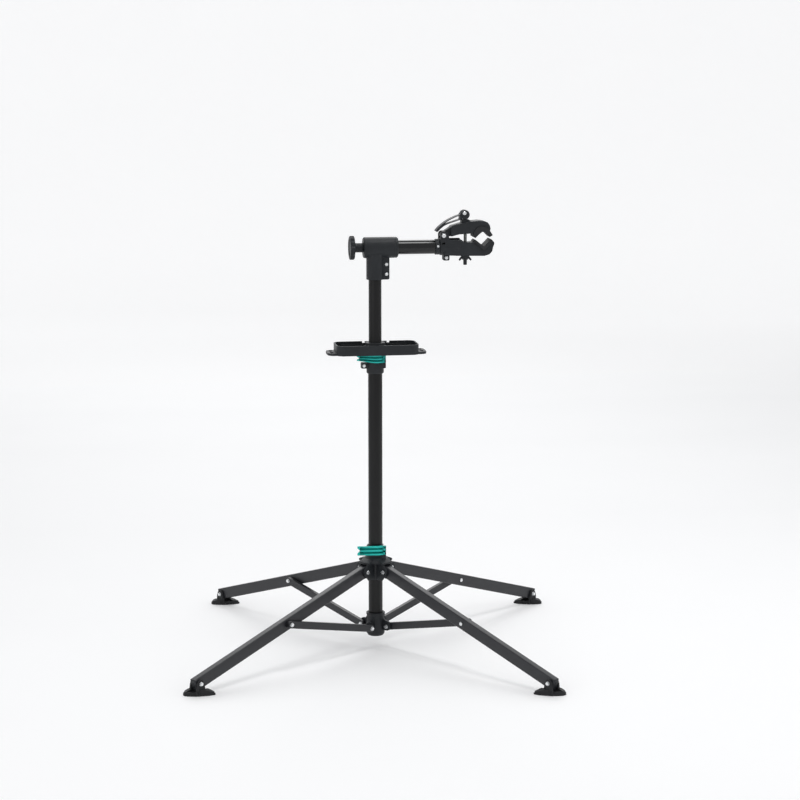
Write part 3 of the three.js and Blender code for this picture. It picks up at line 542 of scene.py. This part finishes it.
TEAL = teal_nylon()
clamp_lever("hub_lever", 204.4, 19.6, 0.0, "lower_clamp_lever", "lower_lever")
lever_pin("hub_lever_pin", 199, 224, "sliding_hub", "lower_lever_pin")
clamp_lever("collar_lever", 617.4, 16.0, 0.32, "upper_clamp_lever", "upper_lever")
lever_pin("collar_lever_pin", 609, 633.4, "standing_mast", "upper_lever_pin")


# ---------------------------------------------------------------- legs
# Four rectangular steel tubes, 25 by 15 mm, with a fine textured anthracite coat. Each
# hangs on its hub bolt, has a nylon plug in both ends, and carries its shoe's bolt.

LEG_SLOPE = math.radians(17.4)
HUB_TO_FOOT, HUB_TO_STAY, LEG_END = 486.0, 234.4, 9.0


def leg_coat():
    coat = Finish("anthracite_leg_coat")
    texture = coat.grain(1100.0, 2.0, 0.6)
    cloud = coat.grain(22.0, 4.0)
    edge = coat.worn_edges(0.0009, 1.4)
    share = coat.node("ShaderNodeClamp", {}, {"Value": cloud * 0.5 + edge * 0.5})
    return coat.surface(
        texture, 0.3, 0.0008, base_color=coat.blend(share, (0.011, 0.0115, 0.0145), (0.022, 0.0235, 0.029)),
        roughness=0.26 + texture * 0.2, specular_ior_level=0.5,
    )


def square_tube(shape, half_y, half_z, wall, low, high, corner, where):
    """A rectangular tube along X with rounded corners, open at both ends."""
    def section(inset):
        y, z, r = half_y - inset, half_z - inset, max(corner - inset, 0.4)
        quarter = [(y - r, z - r, 0), (r - y, z - r, 90), (r - y, r - z, 180), (y - r, r - z, 270)]
        return [p for cy, cz, start in quarter for p in arc((cy, cz), r, start, start + 90, 5)]

    def ring(x, points):
        return [shape.verts.new(where @ Vector((x, y, z))) for y, z in points]

    lip = 0.3
    loops = [
        ring(low + lip, section(0)), ring(high - lip, section(0)), ring(high, section(lip)),
        ring(high, section(wall)), ring(low, section(wall)), ring(low, section(lip)),
    ]
    for here, there in zip(loops, loops[1:] + loops[:1]):
        for k in range(len(here)):
            after = (k + 1) % len(here)
            shape.faces.new((here[k], here[after], there[after], there[k]))


LEG_COAT = leg_coat()
foot_z = HUB_PIVOT[1] - HUB_TO_FOOT * math.sin(LEG_SLOPE)
foot_r = HUB_PIVOT[0] + HUB_TO_FOOT * math.cos(LEG_SLOPE)
for number, azimuth in enumerate(LEG_AZIMUTHS, 1):
    lie = turn_z(azimuth) @ Matrix.Translation((HUB_PIVOT[0], 0, HUB_PIVOT[1]))
    lie = lie @ Matrix.Rotation(LEG_SLOPE, 4, "Y")
    leg = bmesh.new()
    square_tube(leg, 7.5, 12.5, TUBE_WALL, -LEG_END, HUB_TO_FOOT + LEG_END, 2.2, lie)
    piece(f"leg_tube_{number}", leg, f"leg_link_{number}", "leg_paint", LEG_COAT, f"leg_{number}")
    plugs = bmesh.new()
    for end, face in ((-LEG_END, -1), (HUB_TO_FOOT + LEG_END, 1)):
        inner, outer = sorted((end - face * 4.5, end + face * 0.6))
        square_tube(plugs, 6.2, 11.2, 5.0, inner, outer, 1.6, lie)
        round_bar(plugs, 2.2, inner, outer - 0.2, lie @ Matrix.Rotation(math.radians(90), 4, "Y"))
    piece(f"leg_plugs_{number}", plugs, f"leg_link_{number}", "nylon", NYLON)
    at = (foot_r * math.cos(azimuth), foot_r * math.sin(azimuth), foot_z)
    set_bolts(
        f"shoe_bolt_{number}", [(at, azimuth)], (-15.2, -12.1, 12.1, 15.3, 3.8, 3.0),
        f"leg_link_{number}", f"foot_bolt_{number}",
    )


# ---------------------------------------------------------------- stays
# Four flat steel tubes, 15 by 8 mm, with rounded ends and the legs' coat. Each runs beside
# its leg from the bottom collar to a bolt whose flange keeps the two apart.

STAY_END_R, BOLT_HOLE_R = 7.5, 3.25
stay_run = HUB_PIVOT[0] + HUB_TO_STAY * math.cos(LEG_SLOPE) - STAY_PIVOT[0]
stay_rise = HUB_PIVOT[1] - HUB_TO_STAY * math.sin(LEG_SLOPE) - STAY_PIVOT[1]
STAY_LENGTH = math.hypot(stay_run, stay_rise)
STAY_ANGLE = math.atan2(stay_rise, stay_run)

for number, azimuth in enumerate(LEG_AZIMUTHS, 1):
    lie = turn_z(azimuth) @ Matrix.Translation((STAY_PIVOT[0], 0, STAY_PIVOT[1]))
    lie = lie @ Matrix.Rotation(-STAY_ANGLE, 4, "Y")
    stay = bmesh.new()
    ends = arc((0, 0), STAY_END_R, 90, 270, 20) + arc((STAY_LENGTH, 0), STAY_END_R, -90, 90, 20)
    upright(stay, ends, 9, 17, 1.4, lie)
    drill = bmesh.new()
    for x in (0, STAY_LENGTH):
        where = lie @ Matrix.Translation((x, 0, 0)) @ Matrix.Rotation(math.radians(-90), 4, "X")
        round_bar(drill, BOLT_HOLE_R, 7, 19, where)
    piece(
        f"stay_bar_{number}", carved(stay, drill), f"stay_link_{number}", "leg_paint", LEG_COAT,
        f"stay_{number}",
    )
    along = (STAY_PIVOT[0] + stay_run, STAY_PIVOT[1] + stay_rise)
    at = (along[0] * math.cos(azimuth), along[0] * math.sin(azimuth), along[1])
    set_bolts(
        f"brace_bolt_{number}", [(at, azimuth)], (8.4, 8.7, 17.3, 20.4, 3.9, 3.0),
        f"stay_link_{number}", f"mid_bolt_{number}",
    )
    tail = bmesh.new()
    where = Matrix.Translation(at) @ turn_z(azimuth) @ Matrix.Rotation(math.radians(-90), 4, "X")
    lathe(tail, [(0, -10.4), (3.6, -10.4), (4.4, -9.7), (4.4, -7.7), (0, -7.7)], 0.3, where, 6)
    lathe(tail, [(0, -11.2), (2.6, -11.2), (2.6, -9), (0, -9)], 0.3, where, 24)
    piece(f"brace_nut_{number}", tail, f"leg_link_{number}", "zinc", ZINC)


# ---------------------------------------------------------------- shoes
# Leaf-shaped shoes of dark grey rubber that tilt on the legs' ends. All four lie the same
# way, with their narrow ends inwards, and ribs stiffen the ears that take the bolt.

SHOE_LEAF = [
    (-36, 2.2), (-36, -2.2), (-24, -9), (-8, -13.2), (8, -14), (22, -12.4), (28.6, -6),
    (28.6, 6), (22, 12.4), (8, 14), (-8, 13.2), (-24, 9),
]
SHOE_CROWN = [
    (-40, 3.6), (-31, 7), (-20, 10.6), (-8, 13), (6, 13), (16, 10.8), (24, 7.6), (32, 3.2),
    (32, 22), (-40, 22),
]


def shoe_rubber():
    rubber = Finish("shoe_rubber")
    pores = rubber.grain(1600.0, 2.0, 0.7)
    dust = rubber.grain(45.0, 5.0)
    edge = rubber.worn_edges(0.0012, 1.5)
    share = rubber.node("ShaderNodeClamp", {}, {"Value": dust * 0.5 + edge * 0.5})
    return rubber.surface(
        pores, 0.4, 0.0011, base_color=rubber.blend(share, (0.009, 0.0095, 0.011), (0.028, 0.029, 0.032)),
        roughness=0.5 + dust * 0.2, specular_ior_level=0.35,
    )


RUBBER = shoe_rubber()
for number, azimuth in enumerate(LEG_AZIMUTHS, 1):
    lean = math.radians(-45 if number % 2 else 45)
    stand = turn_z(azimuth) @ Matrix.Translation((foot_r, 0, foot_z))
    shoe = bmesh.new()
    leaf = round_off(SHOE_LEAF, 14, 5)
    inner = [(x * 0.94, y * 0.92) for x, y in leaf]
    plate(shoe, inner, -foot_z + 2, -foot_z + 14, 0, stand @ turn_z(lean))
    over = bmesh.new()
    upright(over, round_off([(x, z - foot_z) for x, z in SHOE_CROWN], 9, 4), -17, 17, 0, stand @ turn_z(lean))
    trough = bmesh.new()
    plate(trough, [(-50, -8.1), (50, -8.1), (50, 8.1), (-50, 8.1)], 7.6 - foot_z, 20 - foot_z, 0, stand)
    shoe = carved(shoe, over, trough)
    plate(shoe, leaf, -foot_z, -foot_z + 3.6, 0.9, stand @ turn_z(lean))
    ear = [(-13, -foot_z + 1), (13, -foot_z + 1)] + arc((0, 0), 8.6, -10, 190, 20)
    for near in (-11.9, 7.9):
        upright(shoe, ear, near, near + 4, 0.8, stand)
        side = -1 if near < 0 else 1
        for x in (-7, 0, 7):
            rib = [(side * 10, -4), (side * 10, -foot_z + 5), (side * 15, -foot_z + 5)]
            where = stand @ Matrix.Translation((x, 0, 0)) @ turn_z(math.radians(90))
            upright(shoe, rib, -0.9, 0.9, 0.3, where)
    drill = bmesh.new()
    round_bar(drill, BOLT_HOLE_R, -14, 14, stand @ Matrix.Rotation(math.radians(-90), 4, "X"))
    piece(f"shoe_rubber_{number}", carved(shoe, drill), f"shoe_{number}", "rubber", RUBBER, f"foot_{number}")


# ---------------------------------------------------------------- upper collar
# A nylon collar on the top of the lower tube. Its split boss, away from the arm, is
# pinched by a small bolt, and its ledge carries the upper lever's pin.

UPPER_COLLAR_R = 18.3

collar = bmesh.new()
lathe(collar, [
    (15.3, 593), (17.3, 593), (UPPER_COLLAR_R, 595), (UPPER_COLLAR_R, 634.7), (13.8, 634.7),
    (13.8, 612.3), (15.3, 612.3),
], 0.7, sides=96)
boss = round_off([(-30, 603.8), (-30, 615.6), (-16.6, 615.6), (-16.6, 603.8)], 1.4)
for near in (-7, 1):
    upright(collar, boss, near, near + 6, 0.6)
lever_ledge(collar, 606, 617.1, UPPER_COLLAR_R)
piece("mast_collar", collar, "standing_mast", "nylon", NYLON, "upper_collar")
set_bolts(
    "collar_pinch_bolt", [((-24.5, 0, 609.7), 0)], (-10.4, -7.3, 7.3, 10.2, 3.0, 2.2),
    "standing_mast", "upper_pinch_bolt",
)


# ---------------------------------------------------------------- tool tray
# A shallow nylon tray that sits on the collar round the mast, with a bin on each side of
# its socket and slotted ears to hang hand tools in.

TRAY_FOOT, TRAY_HEIGHT, TRAY_MIDDLE = 635.0, 21.0, 2.0


def rounded_box(half_x, half_y, radius, middle):
    corners = [(half_x, half_y), (-half_x, half_y), (-half_x, -half_y), (half_x, -half_y)]
    points = []
    for k, (x, y) in enumerate(corners):
        centre = (middle + x - math.copysign(radius, x), y - math.copysign(radius, y))
        points += arc(centre, radius, 90 * k, 90 * k + 90, 12)
    return points


top = TRAY_FOOT + TRAY_HEIGHT
tray = bmesh.new()
plate(tray, rounded_box(87, 38, 16, TRAY_MIDDLE), TRAY_FOOT, top, 1.0)
plate(tray, rounded_box(104.5, 29, 15, TRAY_MIDDLE), TRAY_FOOT, TRAY_FOOT + 5, 1.2)
bins = bmesh.new()
plate(bins, rounded_box(84.4, 35.4, 13.4, TRAY_MIDDLE), TRAY_FOOT + 3, top + 4, 1.4)
tray = carved(tray, bins)
back_ledge = rounded_box(72, 2.9, 1.5, TRAY_MIDDLE)
plate(tray, back_ledge, TRAY_FOOT + 2, TRAY_FOOT + 15.5, 0.6, Matrix.Translation((0, 34, 0)))
lathe(tray, [(0, TRAY_FOOT + 2), (21, TRAY_FOOT + 2), (21, top + 2.5), (0, top + 2.5)], 1.2)
for x in (-17.5, 17.5):
    web = [(x, TRAY_FOOT + 2), (x * 2.4, TRAY_FOOT + 2), (x * 2.4, TRAY_FOOT + 5), (x, top - 3)]
    upright(tray, web, -1.1, 1.1, 0.4)
openings = bmesh.new()
round_bar(openings, 13.9, TRAY_FOOT - 1, top + 4, sides=96)
for side in (-1, 1):
    for y in (-13, 13):
        slot = rounded_box(3.6, 8.5, 3.4, TRAY_MIDDLE + side * 95.25)
        plate(openings, slot, TRAY_FOOT - 1, TRAY_FOOT + 6, 0, Matrix.Translation((0, y, 0)))
for x in (-20, 32.5):
    plate(openings, rounded_box(2.8, 5, 0.6, x), top - 3.6, top + 1, 0, Matrix.Translation((0, 34.5, 0)))
piece("tray_shell", carved(tray, openings), "standing_mast", "nylon", NYLON, "tool_tray")


# ---------------------------------------------------------------- rising mast tube
# The inner steel tube, 27 mm across, slides in the lower tube on a nylon bush and has
# the same satin black coat.

inner = bmesh.new()
lathe(inner, tube_profile(13.5, 13.5 - TUBE_WALL, 37.3, 837.7), 0.3, sides=96)
piece("rising_mast_tube", inner, "rising_mast", "mast_black", BLACK_COAT, "mast_inner_tube")


def finish_node(node, finish):
    """Gives a CAD solid its finish."""
    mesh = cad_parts[node].data
    mesh.materials.clear()
    mesh.materials.append(finish)


finish_node("guide_bush", NYLON)


# ---------------------------------------------------------------- arm head
# A nylon tee: the long sleeve holds the arm, the split sleeve below grips the rising tube
# with two hex screws through its ears.

ARM_Z = 857.7
ALONG_X = Matrix.Translation((0, 0, ARM_Z)) @ Matrix.Rotation(math.radians(90), 4, "Y")

head = bmesh.new()
lathe(head, [
    (0, -24.9), (20, -24.9), (22, -23), (22, 40.4), (21.2, 41), (21.8, 41.6), (21.8, 45.2), (19.8, 47.6),
    (0, 47.6),
], 0.9, ALONG_X, 96)
lathe(head, [
    (0, 791), (18.25, 791), (18.25, 834), (19.5, 846), (0, 846),
], 0.9, sides=96)
for near in (-8.5, 1.2):
    ear = round_off([(12, 791.2), (29.4, 791.2), (29.4, 838), (12, 838)], 3)
    upright(head, ear, near, near + 7.3, 0.8)
upright(head, [(14, 838), (14, 830), (20, 830), (33, 839)], -3, 3, 0.6)
bores = bmesh.new()
round_bar(bores, 15.3, -18, 50, ALONG_X, 0.2, 96)
round_bar(bores, 4.4, -30, -10, ALONG_X, 0.2)
mast_bore = bmesh.new()
round_bar(mast_bore, 13.8, 780, 838, sides=96)
piece("arm_tee", carved(head, bores, mast_bore), "rising_mast", "nylon", NYLON, "arm_head")
set_bolts(
    "tee_screws", [((23.2, 0, z), 0) for z in (823, 802.5)], (-11.8, -8.8, 8.8, 11.4, 3.0, 2.2),
    "rising_mast", "head_screw_1", "head_screw_2",
)


# ---------------------------------------------------------------- locking knob
# A fluted nylon knob on a threaded stud. Turning it draws the arm's end plate up and
# locks the arm in the tee.

KNOB_LOBES = 12

flutes = []
for k in range(12 * KNOB_LOBES):
    t = 2 * math.pi * k / (12 * KNOB_LOBES)
    r = 25 - 1.5 * (1 - math.cos(KNOB_LOBES * t))
    flutes.append((r * math.cos(t), r * math.sin(t)))
knob = bmesh.new()
plate(knob, flutes, -53.6, -44, 1.4, ALONG_X)
lathe(knob, [(0, -45), (14, -45), (9.8, -41.5), (9.8, -25.2), (0, -25.2)], 0.6, ALONG_X, 64)
dish = bmesh.new()
lathe(dish, [(0, -56), (19, -56), (18.2, -52.2), (0, -52.2)], 0.5, ALONG_X, 72)
stud_hole = bmesh.new()
round_bar(stud_hole, 4.35, -50.3, -20, ALONG_X)
piece("fluted_knob", carved(knob, dish, stud_hole), "arm_knob", "nylon", NYLON, "locking_knob")
finish_node("draw_stud", ZINC)


# ---------------------------------------------------------------- arm tube
# A round steel tube with a high-gloss black coat. A thinner stub inside it carries the
# clamp, behind a nylon ring held by one screw.

def gloss_coat():
    coat = Finish("gloss_black_coat")
    ripple = coat.grain(120.0, 2.0)
    smear = coat.grain(30.0, 4.0)
    return coat.surface(
        ripple, 0.03, base_color=coat.blend(smear, (0.0022, 0.0022, 0.0026), (0.004, 0.004, 0.0046)),
        roughness=0.08 + smear * 0.07, specular_ior_level=0.45,
    )


arm = bmesh.new()
lathe(arm, tube_profile(15, 13.85, -15.7, 126), 0.3, ALONG_X, 96)
piece("arm_barrel", arm, "arm", "gloss_black", gloss_coat(), "arm_tube")
finish_node("arm_stub", ZINC)
ring = bmesh.new()
lathe(ring, tube_profile(16.6, 13.8, 126.3, 135.7), 0.9, ALONG_X, 96)
piece("arm_end_ring", ring, "arm", "nylon", NYLON, "end_ring")
screw = bmesh.new()
where = Matrix.Translation((131, 0, ARM_Z + 2.2)) @ Matrix.Rotation(math.radians(-90), 4, "X")
lathe(screw, [(0, -17.6), (2.5, -17.6), (2.5, -16.2), (1.9, -16.2), (1.9, -13.9), (0, -13.9)], 0.5, where, 32)
cross = bmesh.new()
for turn in (0, 90):
    bar = where @ turn_z(math.radians(turn))
    plate(cross, [(-1.5, -0.3), (1.5, -0.3), (1.5, 0.3), (-1.5, 0.3)], -18.6, -17, 0, bar)
piece("ring_fixing_screw", carved(screw, cross), "arm", "zinc", ZINC, "ring_screw")


# ---------------------------------------------------------------- clamp body
# The clamp's fixed half in glass-filled nylon: a split sleeve on the arm's stub, cheeks
# for the upper jaw's pivot, and the lower jaw with a thick rubber pad in a vee.

JAW_PIVOT = (143.0, 882.0)
VEE_APEX = Vector((228.3, 857.5))
VEE_LEFT = Vector((-18, 15.1)).normalized()
VEE_RIGHT = Vector((14.6, 16.5)).normalized()
ROD_X = 191.2


def vee(depth):
    """The vee's left end, apex and right end at a depth under its faces."""
    down_left = Vector((-VEE_LEFT.y, VEE_LEFT.x))
    down_right = Vector((VEE_RIGHT.y, -VEE_RIGHT.x))
    fold = (down_left + down_right) * depth / (1 + down_left.dot(down_right))
    left = VEE_APEX + VEE_LEFT * 23.5 + down_left * depth
    right = VEE_APEX + VEE_RIGHT * 22 + down_right * depth
    return [tuple(left), tuple(VEE_APEX + fold), tuple(right)]


def along_y(x, z):
    return Matrix.Translation((x, 0, z)) @ Matrix.Rotation(math.radians(-90), 4, "X")


left, apex, right = vee(6.3)
jaw = [
    (146, 840.6), (172, 839.2), (230, 838.4), (240, 841.5), (246, 848), (247.5, 856), (250.3, 863.6),
    (249.8, 867), right, apex, left, (200, 866.6), (183, 867.9), (182.5, 872.4), (146, 872.4),
]
clamp = bmesh.new()
upright(clamp, round_off(jaw, 2.2, 4), -17, 17, 2.2)
lathe(clamp, [(0, 136), (16.8, 136), (18, 137.5), (18, 179), (0, 179)], 0.8, ALONG_X, 96)
lug = round_off([(143.5, 829), (156.5, 829), (156.5, 846), (143.5, 846)], 2.5)
for near in (-9, 1.2):
    upright(clamp, lug, near, near + 7.8, 0.8)
cheek = [(136, 862), (136, 884.5), (139, 890), (148, 890.5), (153, 884), (156, 866)]
for near in (-16.8, 10.3):
    upright(clamp, round_off(cheek, 3, 5), near, near + 6.5, 1.4)
bore = bmesh.new()
round_bar(bore, 13.8, 134, 175, ALONG_X, 0.2, 96)
holes = bmesh.new()
round_bar(holes, 4.5, 830, 870, Matrix.Translation((ROD_X, 0, 0)))
round_bar(holes, 3.3, -20, 20, along_y(*JAW_PIVOT))
slit = bmesh.new()
upright(slit, [(133, 828), (159, 828), (159, 848), (133, 848)], -1.2, 1.2, 0)
piece("clamp_lower_jaw", carved(clamp, bore, holes, slit), "arm", "nylon", NYLON, "clamp_body")
set_bolts(
    "sleeve_pinch_bolt", [((150, 0, 834.8), 0)], (-12.6, -9.3, 9.3, 12.6, 3.1, 2.8),
    "arm", "clamp_pinch_bolt",
)
set_bolts(
    "jaw_hinge_bolt", [((JAW_PIVOT[0], 0, JAW_PIVOT[1]), 0)], (-20.6, -17.3, 17.3, 20.6, 4.0, 3.0),
    "arm", "jaw_pivot_bolt",
)


# ---------------------------------------------------------------- rubber pads
# Soft rubber pads moulded into both jaws. Their faces are ribbed along the tube that they
# grip, and they stand a little proud of the jaws at the sides.

def pad_rubber():
    rubber = Finish("pad_rubber")
    ribs = rubber.node("ShaderNodeTexWave", {"bands_direction": "Y"}, {
        "Vector": rubber.place, "Scale": 95.0, "Distortion": 0.4,
    }, "Fac")
    pores = rubber.grain(1500.0, 2.0, 0.7)
    dust = rubber.grain(50.0, 4.0)
    return rubber.surface(
        ribs * 0.7 + pores * 0.3, 0.35, 0.0012,
        base_color=rubber.blend(dust, (0.011, 0.0115, 0.013), (0.026, 0.027, 0.03)),
        roughness=0.58 + pores * 0.14, specular_ior_level=0.35,
    )


PAD_RUBBER = pad_rubber()
pad = bmesh.new()
front, back = vee(0), vee(6)
upright(pad, round_off([front[0], *back, front[2], front[1]], 1.0, 3), -19, 19, 1.2)
piece("lower_jaw_pad", pad, "arm", "rubber", PAD_RUBBER, "lower_pad")
ARCH, ARCH_R = (224.5, 881.5), 19.0
pad = bmesh.new()
crown = [(210, 876), (223.3, 890), (229.6, 890), (240.5, 877.8), (246.8, 881.6)]
crown += arc(ARCH, ARCH_R, 31, 172, 24)[1:] + [(205.4, 878.6)]
upright(pad, crown, -19, 19, 1.2)
piece("upper_jaw_pad", pad, "top_jaw", "rubber", PAD_RUBBER, "upper_pad")


# ---------------------------------------------------------------- upper jaw
# The moving jaw swings between the cheeks on a hex bolt. It is slotted for the draw rod,
# and the cam bears on a flat saddle on its back.

back_line = [
    (242.2, 895), (240.6, 902.5), (236, 908.5), (228, 911.4), (218, 912.2), (201, 910.7),
    (180.4, 906.8), (162, 901.6), (151.3, 894.5),
]
eye = arc(JAW_PIVOT, 5.9, 120, 330, 16)
under = [(162.5, 880.4), (176, 884.9), (201.9, 886.6)] + arc(ARCH, ARCH_R + 0.3, 172, 30, 24)
jaw = bmesh.new()
upright(jaw, eye + under + back_line, -17, 17, 2.2)
saddle = round_off([(181.6, 902), (204.5, 902), (204.5, 908.5), (198, 914.2), (181.6, 914.2)], 1.2)
upright(jaw, saddle, -9, 9, 0.8)
shoulders = bmesh.new()
for near in (-19, 10):
    upright(shoulders, round_off([(128, 865), (158.6, 865), (158.6, 906), (128, 906)], 2), near, near + 9, 0)
slot = bmesh.new()
plate(slot, rounded_box(11, 3.7, 3.6, 195.6), 878, 918, 0)
pin_hole = bmesh.new()
round_bar(pin_hole, 3.3, -12, 12, along_y(*JAW_PIVOT))
piece("clamp_upper_jaw", carved(jaw, shoulders, slot, pin_hole), "top_jaw", "nylon", NYLON, "upper_jaw")


# ---------------------------------------------------------------- draw rod and wing nut
# A zinc-plated rod with an eye on top for the cam's pin. Its threaded foot takes a nylon
# wing nut that sets how tightly the jaws close.

def threaded_steel():
    steel = Finish("threaded_steel")
    thread = steel.node("ShaderNodeTexWave", {"bands_direction": "Z"}, {
        "Vector": steel.place, "Scale": 320.0,
    }, "Fac")
    stain = steel.grain(80.0, 3.0)
    return steel.surface(
        thread, 0.6, 0.0002, base_color=steel.blend(stain, (0.3, 0.32, 0.31), (0.5, 0.52, 0.5)),
        roughness=0.3 + stain * 0.2, metallic=1.0,
    )


CAM_PIN = (187.8, 927.5)
THREADED = threaded_steel()
rod = bmesh.new()
over_rod = Matrix.Translation((ROD_X, 0, 0))
lathe(rod, [(0, 828), (3.3, 828), (3.3, 925), (0, 925)], 0.4, over_rod, 40)
round_bar(rod, 5.5, -3.2, 3.2, along_y(*CAM_PIN), 0.6, 40)
hole = bmesh.new()
round_bar(hole, 2.8, -5, 5, along_y(*CAM_PIN))
piece("jaw_draw_rod", carved(rod, hole), "clamp_rod", "zinc", THREADED, "draw_rod")
cap = bmesh.new()
lathe(cap, [(0, 818.6), (3.2, 818.6), (3.9, 820), (3.9, 829), (0, 829)], 0.5, over_rod, 40)
piece("rod_foot_cap", cap, "clamp_rod", "nylon", NYLON)
pin = bmesh.new()
lathe(pin, [
    (0, -12.4), (3, -12.4), (4.1, -11.4), (4.1, -10.3), (2.5, -10.3), (2.5, 10.3), (4.1, 10.3),
    (4.1, 11.6), (3.2, 12.2), (0, 12.2),
], 0.3, along_y(*CAM_PIN), 40)
piece("cam_axle", pin, "clamp_rod", "zinc", ZINC, "cam_pin")
nut = bmesh.new()
lathe(nut, [(4.2, 829.6), (6.4, 829.6), (6.4, 834), (7.6, 838), (4.2, 838)], 0.4, over_rod, 40)
wing = round_off([(5.4, 837.6), (8, 837.4), (14, 830), (12, 826.8), (5.4, 833)], 1.2)
for turn in (0, 180):
    upright(nut, wing, -1.3, 1.3, 0.5, over_rod @ turn_z(math.radians(turn)))
piece("wing_nut_body", nut, "adjuster", "nylon", NYLON, "wing_nut")


# ---------------------------------------------------------------- cam lever
# A curved quick-release lever in nylon, with a long window and a round cam at its root
# that is forked over the rod's eye.

strip = [
    (182, 930), (179.4, 925), (167, 920.4), (155.3, 915), (147.5, 910.4), (140.8, 905.4),
    (133, 898.8), (126.3, 891), (130.1, 888.6), (137, 895.6), (144.6, 901.6), (150.8, 904.6),
    (157.2, 907), (168, 910.4), (180.8, 914.6), (186, 918),
]
gap = [
    (145.4, 905.8), (149.4, 909.2), (156.2, 913.7), (167.6, 919), (178.4, 923.2), (178.6, 915.2),
    (168, 911.8), (157, 908.4), (150.4, 906.1),
]
lever = bmesh.new()
upright(lever, round_off(strip, 5, 4), -10, 10, 0.5)
round_bar(lever, 9.8, -10, 10, along_y(CAM_PIN[0] + 1.5, CAM_PIN[1] - 3.1), 1.2, 72)
window = bmesh.new()
upright(window, round_off(gap, 3, 4), -12, 12, 0)
fork = bmesh.new()
upright(fork, [(180.4, 910), (202, 910), (202, 940), (180.4, 940)], -3.6, 3.6, 0)
axle_hole = bmesh.new()
round_bar(axle_hole, 2.8, -12, 12, along_y(*CAM_PIN))
lever = carved(lever, window, fork, axle_hole)
piece("quick_release_lever", lever, "quick_release", "nylon", NYLON, "cam_lever")


# ---------------------------------------------------------------- studio
# A pale floor that sweeps up behind the stand, broad soft lights and a camera a little
# above the height of the arm.

# How strongly the paper glows along Y, in metres, so that it looks evenly lit.
PAPER_NEAR, PAPER_FAR = -1.0, 8.0
PAPER_GLOW = [
    (-1.0, 0.11), (0.0, 0.075), (1.2, 0.015), (2.3, 0.01), (3.0, 0.05), (3.95, 0.165), (5.1, 0.265),
    (6.2, 0.31), (8.0, 0.33),
]


def studio_paper():
    paper = Finish("studio_paper")
    fibre = paper.grain(3.0, 2.0)
    along = paper.node("ShaderNodeSeparateXYZ", {}, {"Vector": paper.place}, "Y")
    reach = {"Value": along, "From Min": PAPER_NEAR, "From Max": PAPER_FAR}
    share = paper.node("ShaderNodeMapRange", {}, reach)
    ramp = paper.tree.nodes.new("ShaderNodeValToRGB")
    paper.tree.links.new(share.socket, ramp.inputs[0])
    stops = ramp.color_ramp.elements
    while len(stops) < len(PAPER_GLOW):
        stops.new(0.5)
    for stop, (y, glow) in zip(stops, PAPER_GLOW):
        stop.position = (y - PAPER_NEAR) / (PAPER_FAR - PAPER_NEAR)
        stop.color = (glow, glow, glow, 1)
    return paper.surface(
        fibre, 0.02, base_color=paper.blend(fibre, (0.85, 0.853, 0.86), (0.865, 0.868, 0.874)),
        roughness=0.85, emission_color=Wire(paper.tree, ramp.outputs[0]),
        emission_strength=1.0,
    )


sweep = [(-9.0, 0.0), (5.0, 0.0)] + [
    (5.0 + 3 * math.sin(math.radians(9 * k)), 3 - 3 * math.cos(math.radians(9 * k))) for k in range(1, 11)
] + [(8.0, 9.0)]
paper_mesh = bpy.data.meshes.new("studio_floor")
paper_points = [(side, y, z) for y, z in sweep for side in (-14.0, 14.0)]
paper_faces = [(2 * k, 2 * k + 1, 2 * k + 3, 2 * k + 2) for k in range(len(sweep) - 1)]
paper_mesh.from_pydata(paper_points, [], paper_faces)
paper_mesh.materials.append(studio_paper())
for face in paper_mesh.polygons:
    face.use_smooth = True
floor = bpy.data.objects.new("studio_floor", paper_mesh)
bpy.context.collection.objects.link(floor)

world = bpy.data.worlds.new("studio_air")
world.use_nodes = True
world.node_tree.nodes["Background"].inputs["Color"].default_value = (0.99, 0.993, 1.0, 1)
world.node_tree.nodes["Background"].inputs["Strength"].default_value = 0.64
bpy.context.scene.world = world
bpy.context.scene.view_settings.view_transform = "Standard"

LIGHTS = {
    "overhead": ((0.45, -0.5, 3.3), (0.4, 0, 0.3), 0.9, 20.0),
    "back_panel": ((0.3, 2.9, 3.0), (0, 0, 0.5), 2.4, 42.0),
    "left_panel": ((-2.8, -2.4, 1.9), (0, 0, 0.8), 1.6, 12.0),
    "right_panel": ((3.0, -1.2, 2.2), (0, 0, 0.7), 1.4, 8.0),
}
for name, (at, towards, size, power) in LIGHTS.items():
    lamp = bpy.data.lights.new(name, "AREA")
    lamp.size = size
    lamp.energy = power
    holder = bpy.data.objects.new(name, lamp)
    holder.location = at
    holder.rotation_euler = (Vector(towards) - Vector(at)).to_track_quat("-Z", "Y").to_euler()
    bpy.context.collection.objects.link(holder)

lens = bpy.data.cameras.new("camera")
lens.lens = 97.82
lens.sensor_width = 36.0
camera = bpy.data.objects.new("camera", lens)
camera.location = (-0.630, -4.481, 1.294)
camera.rotation_euler = (math.radians(90 - 9.52), 0, math.radians(-8.665))
bpy.context.collection.objects.link(camera)
bpy.context.scene.camera = camera
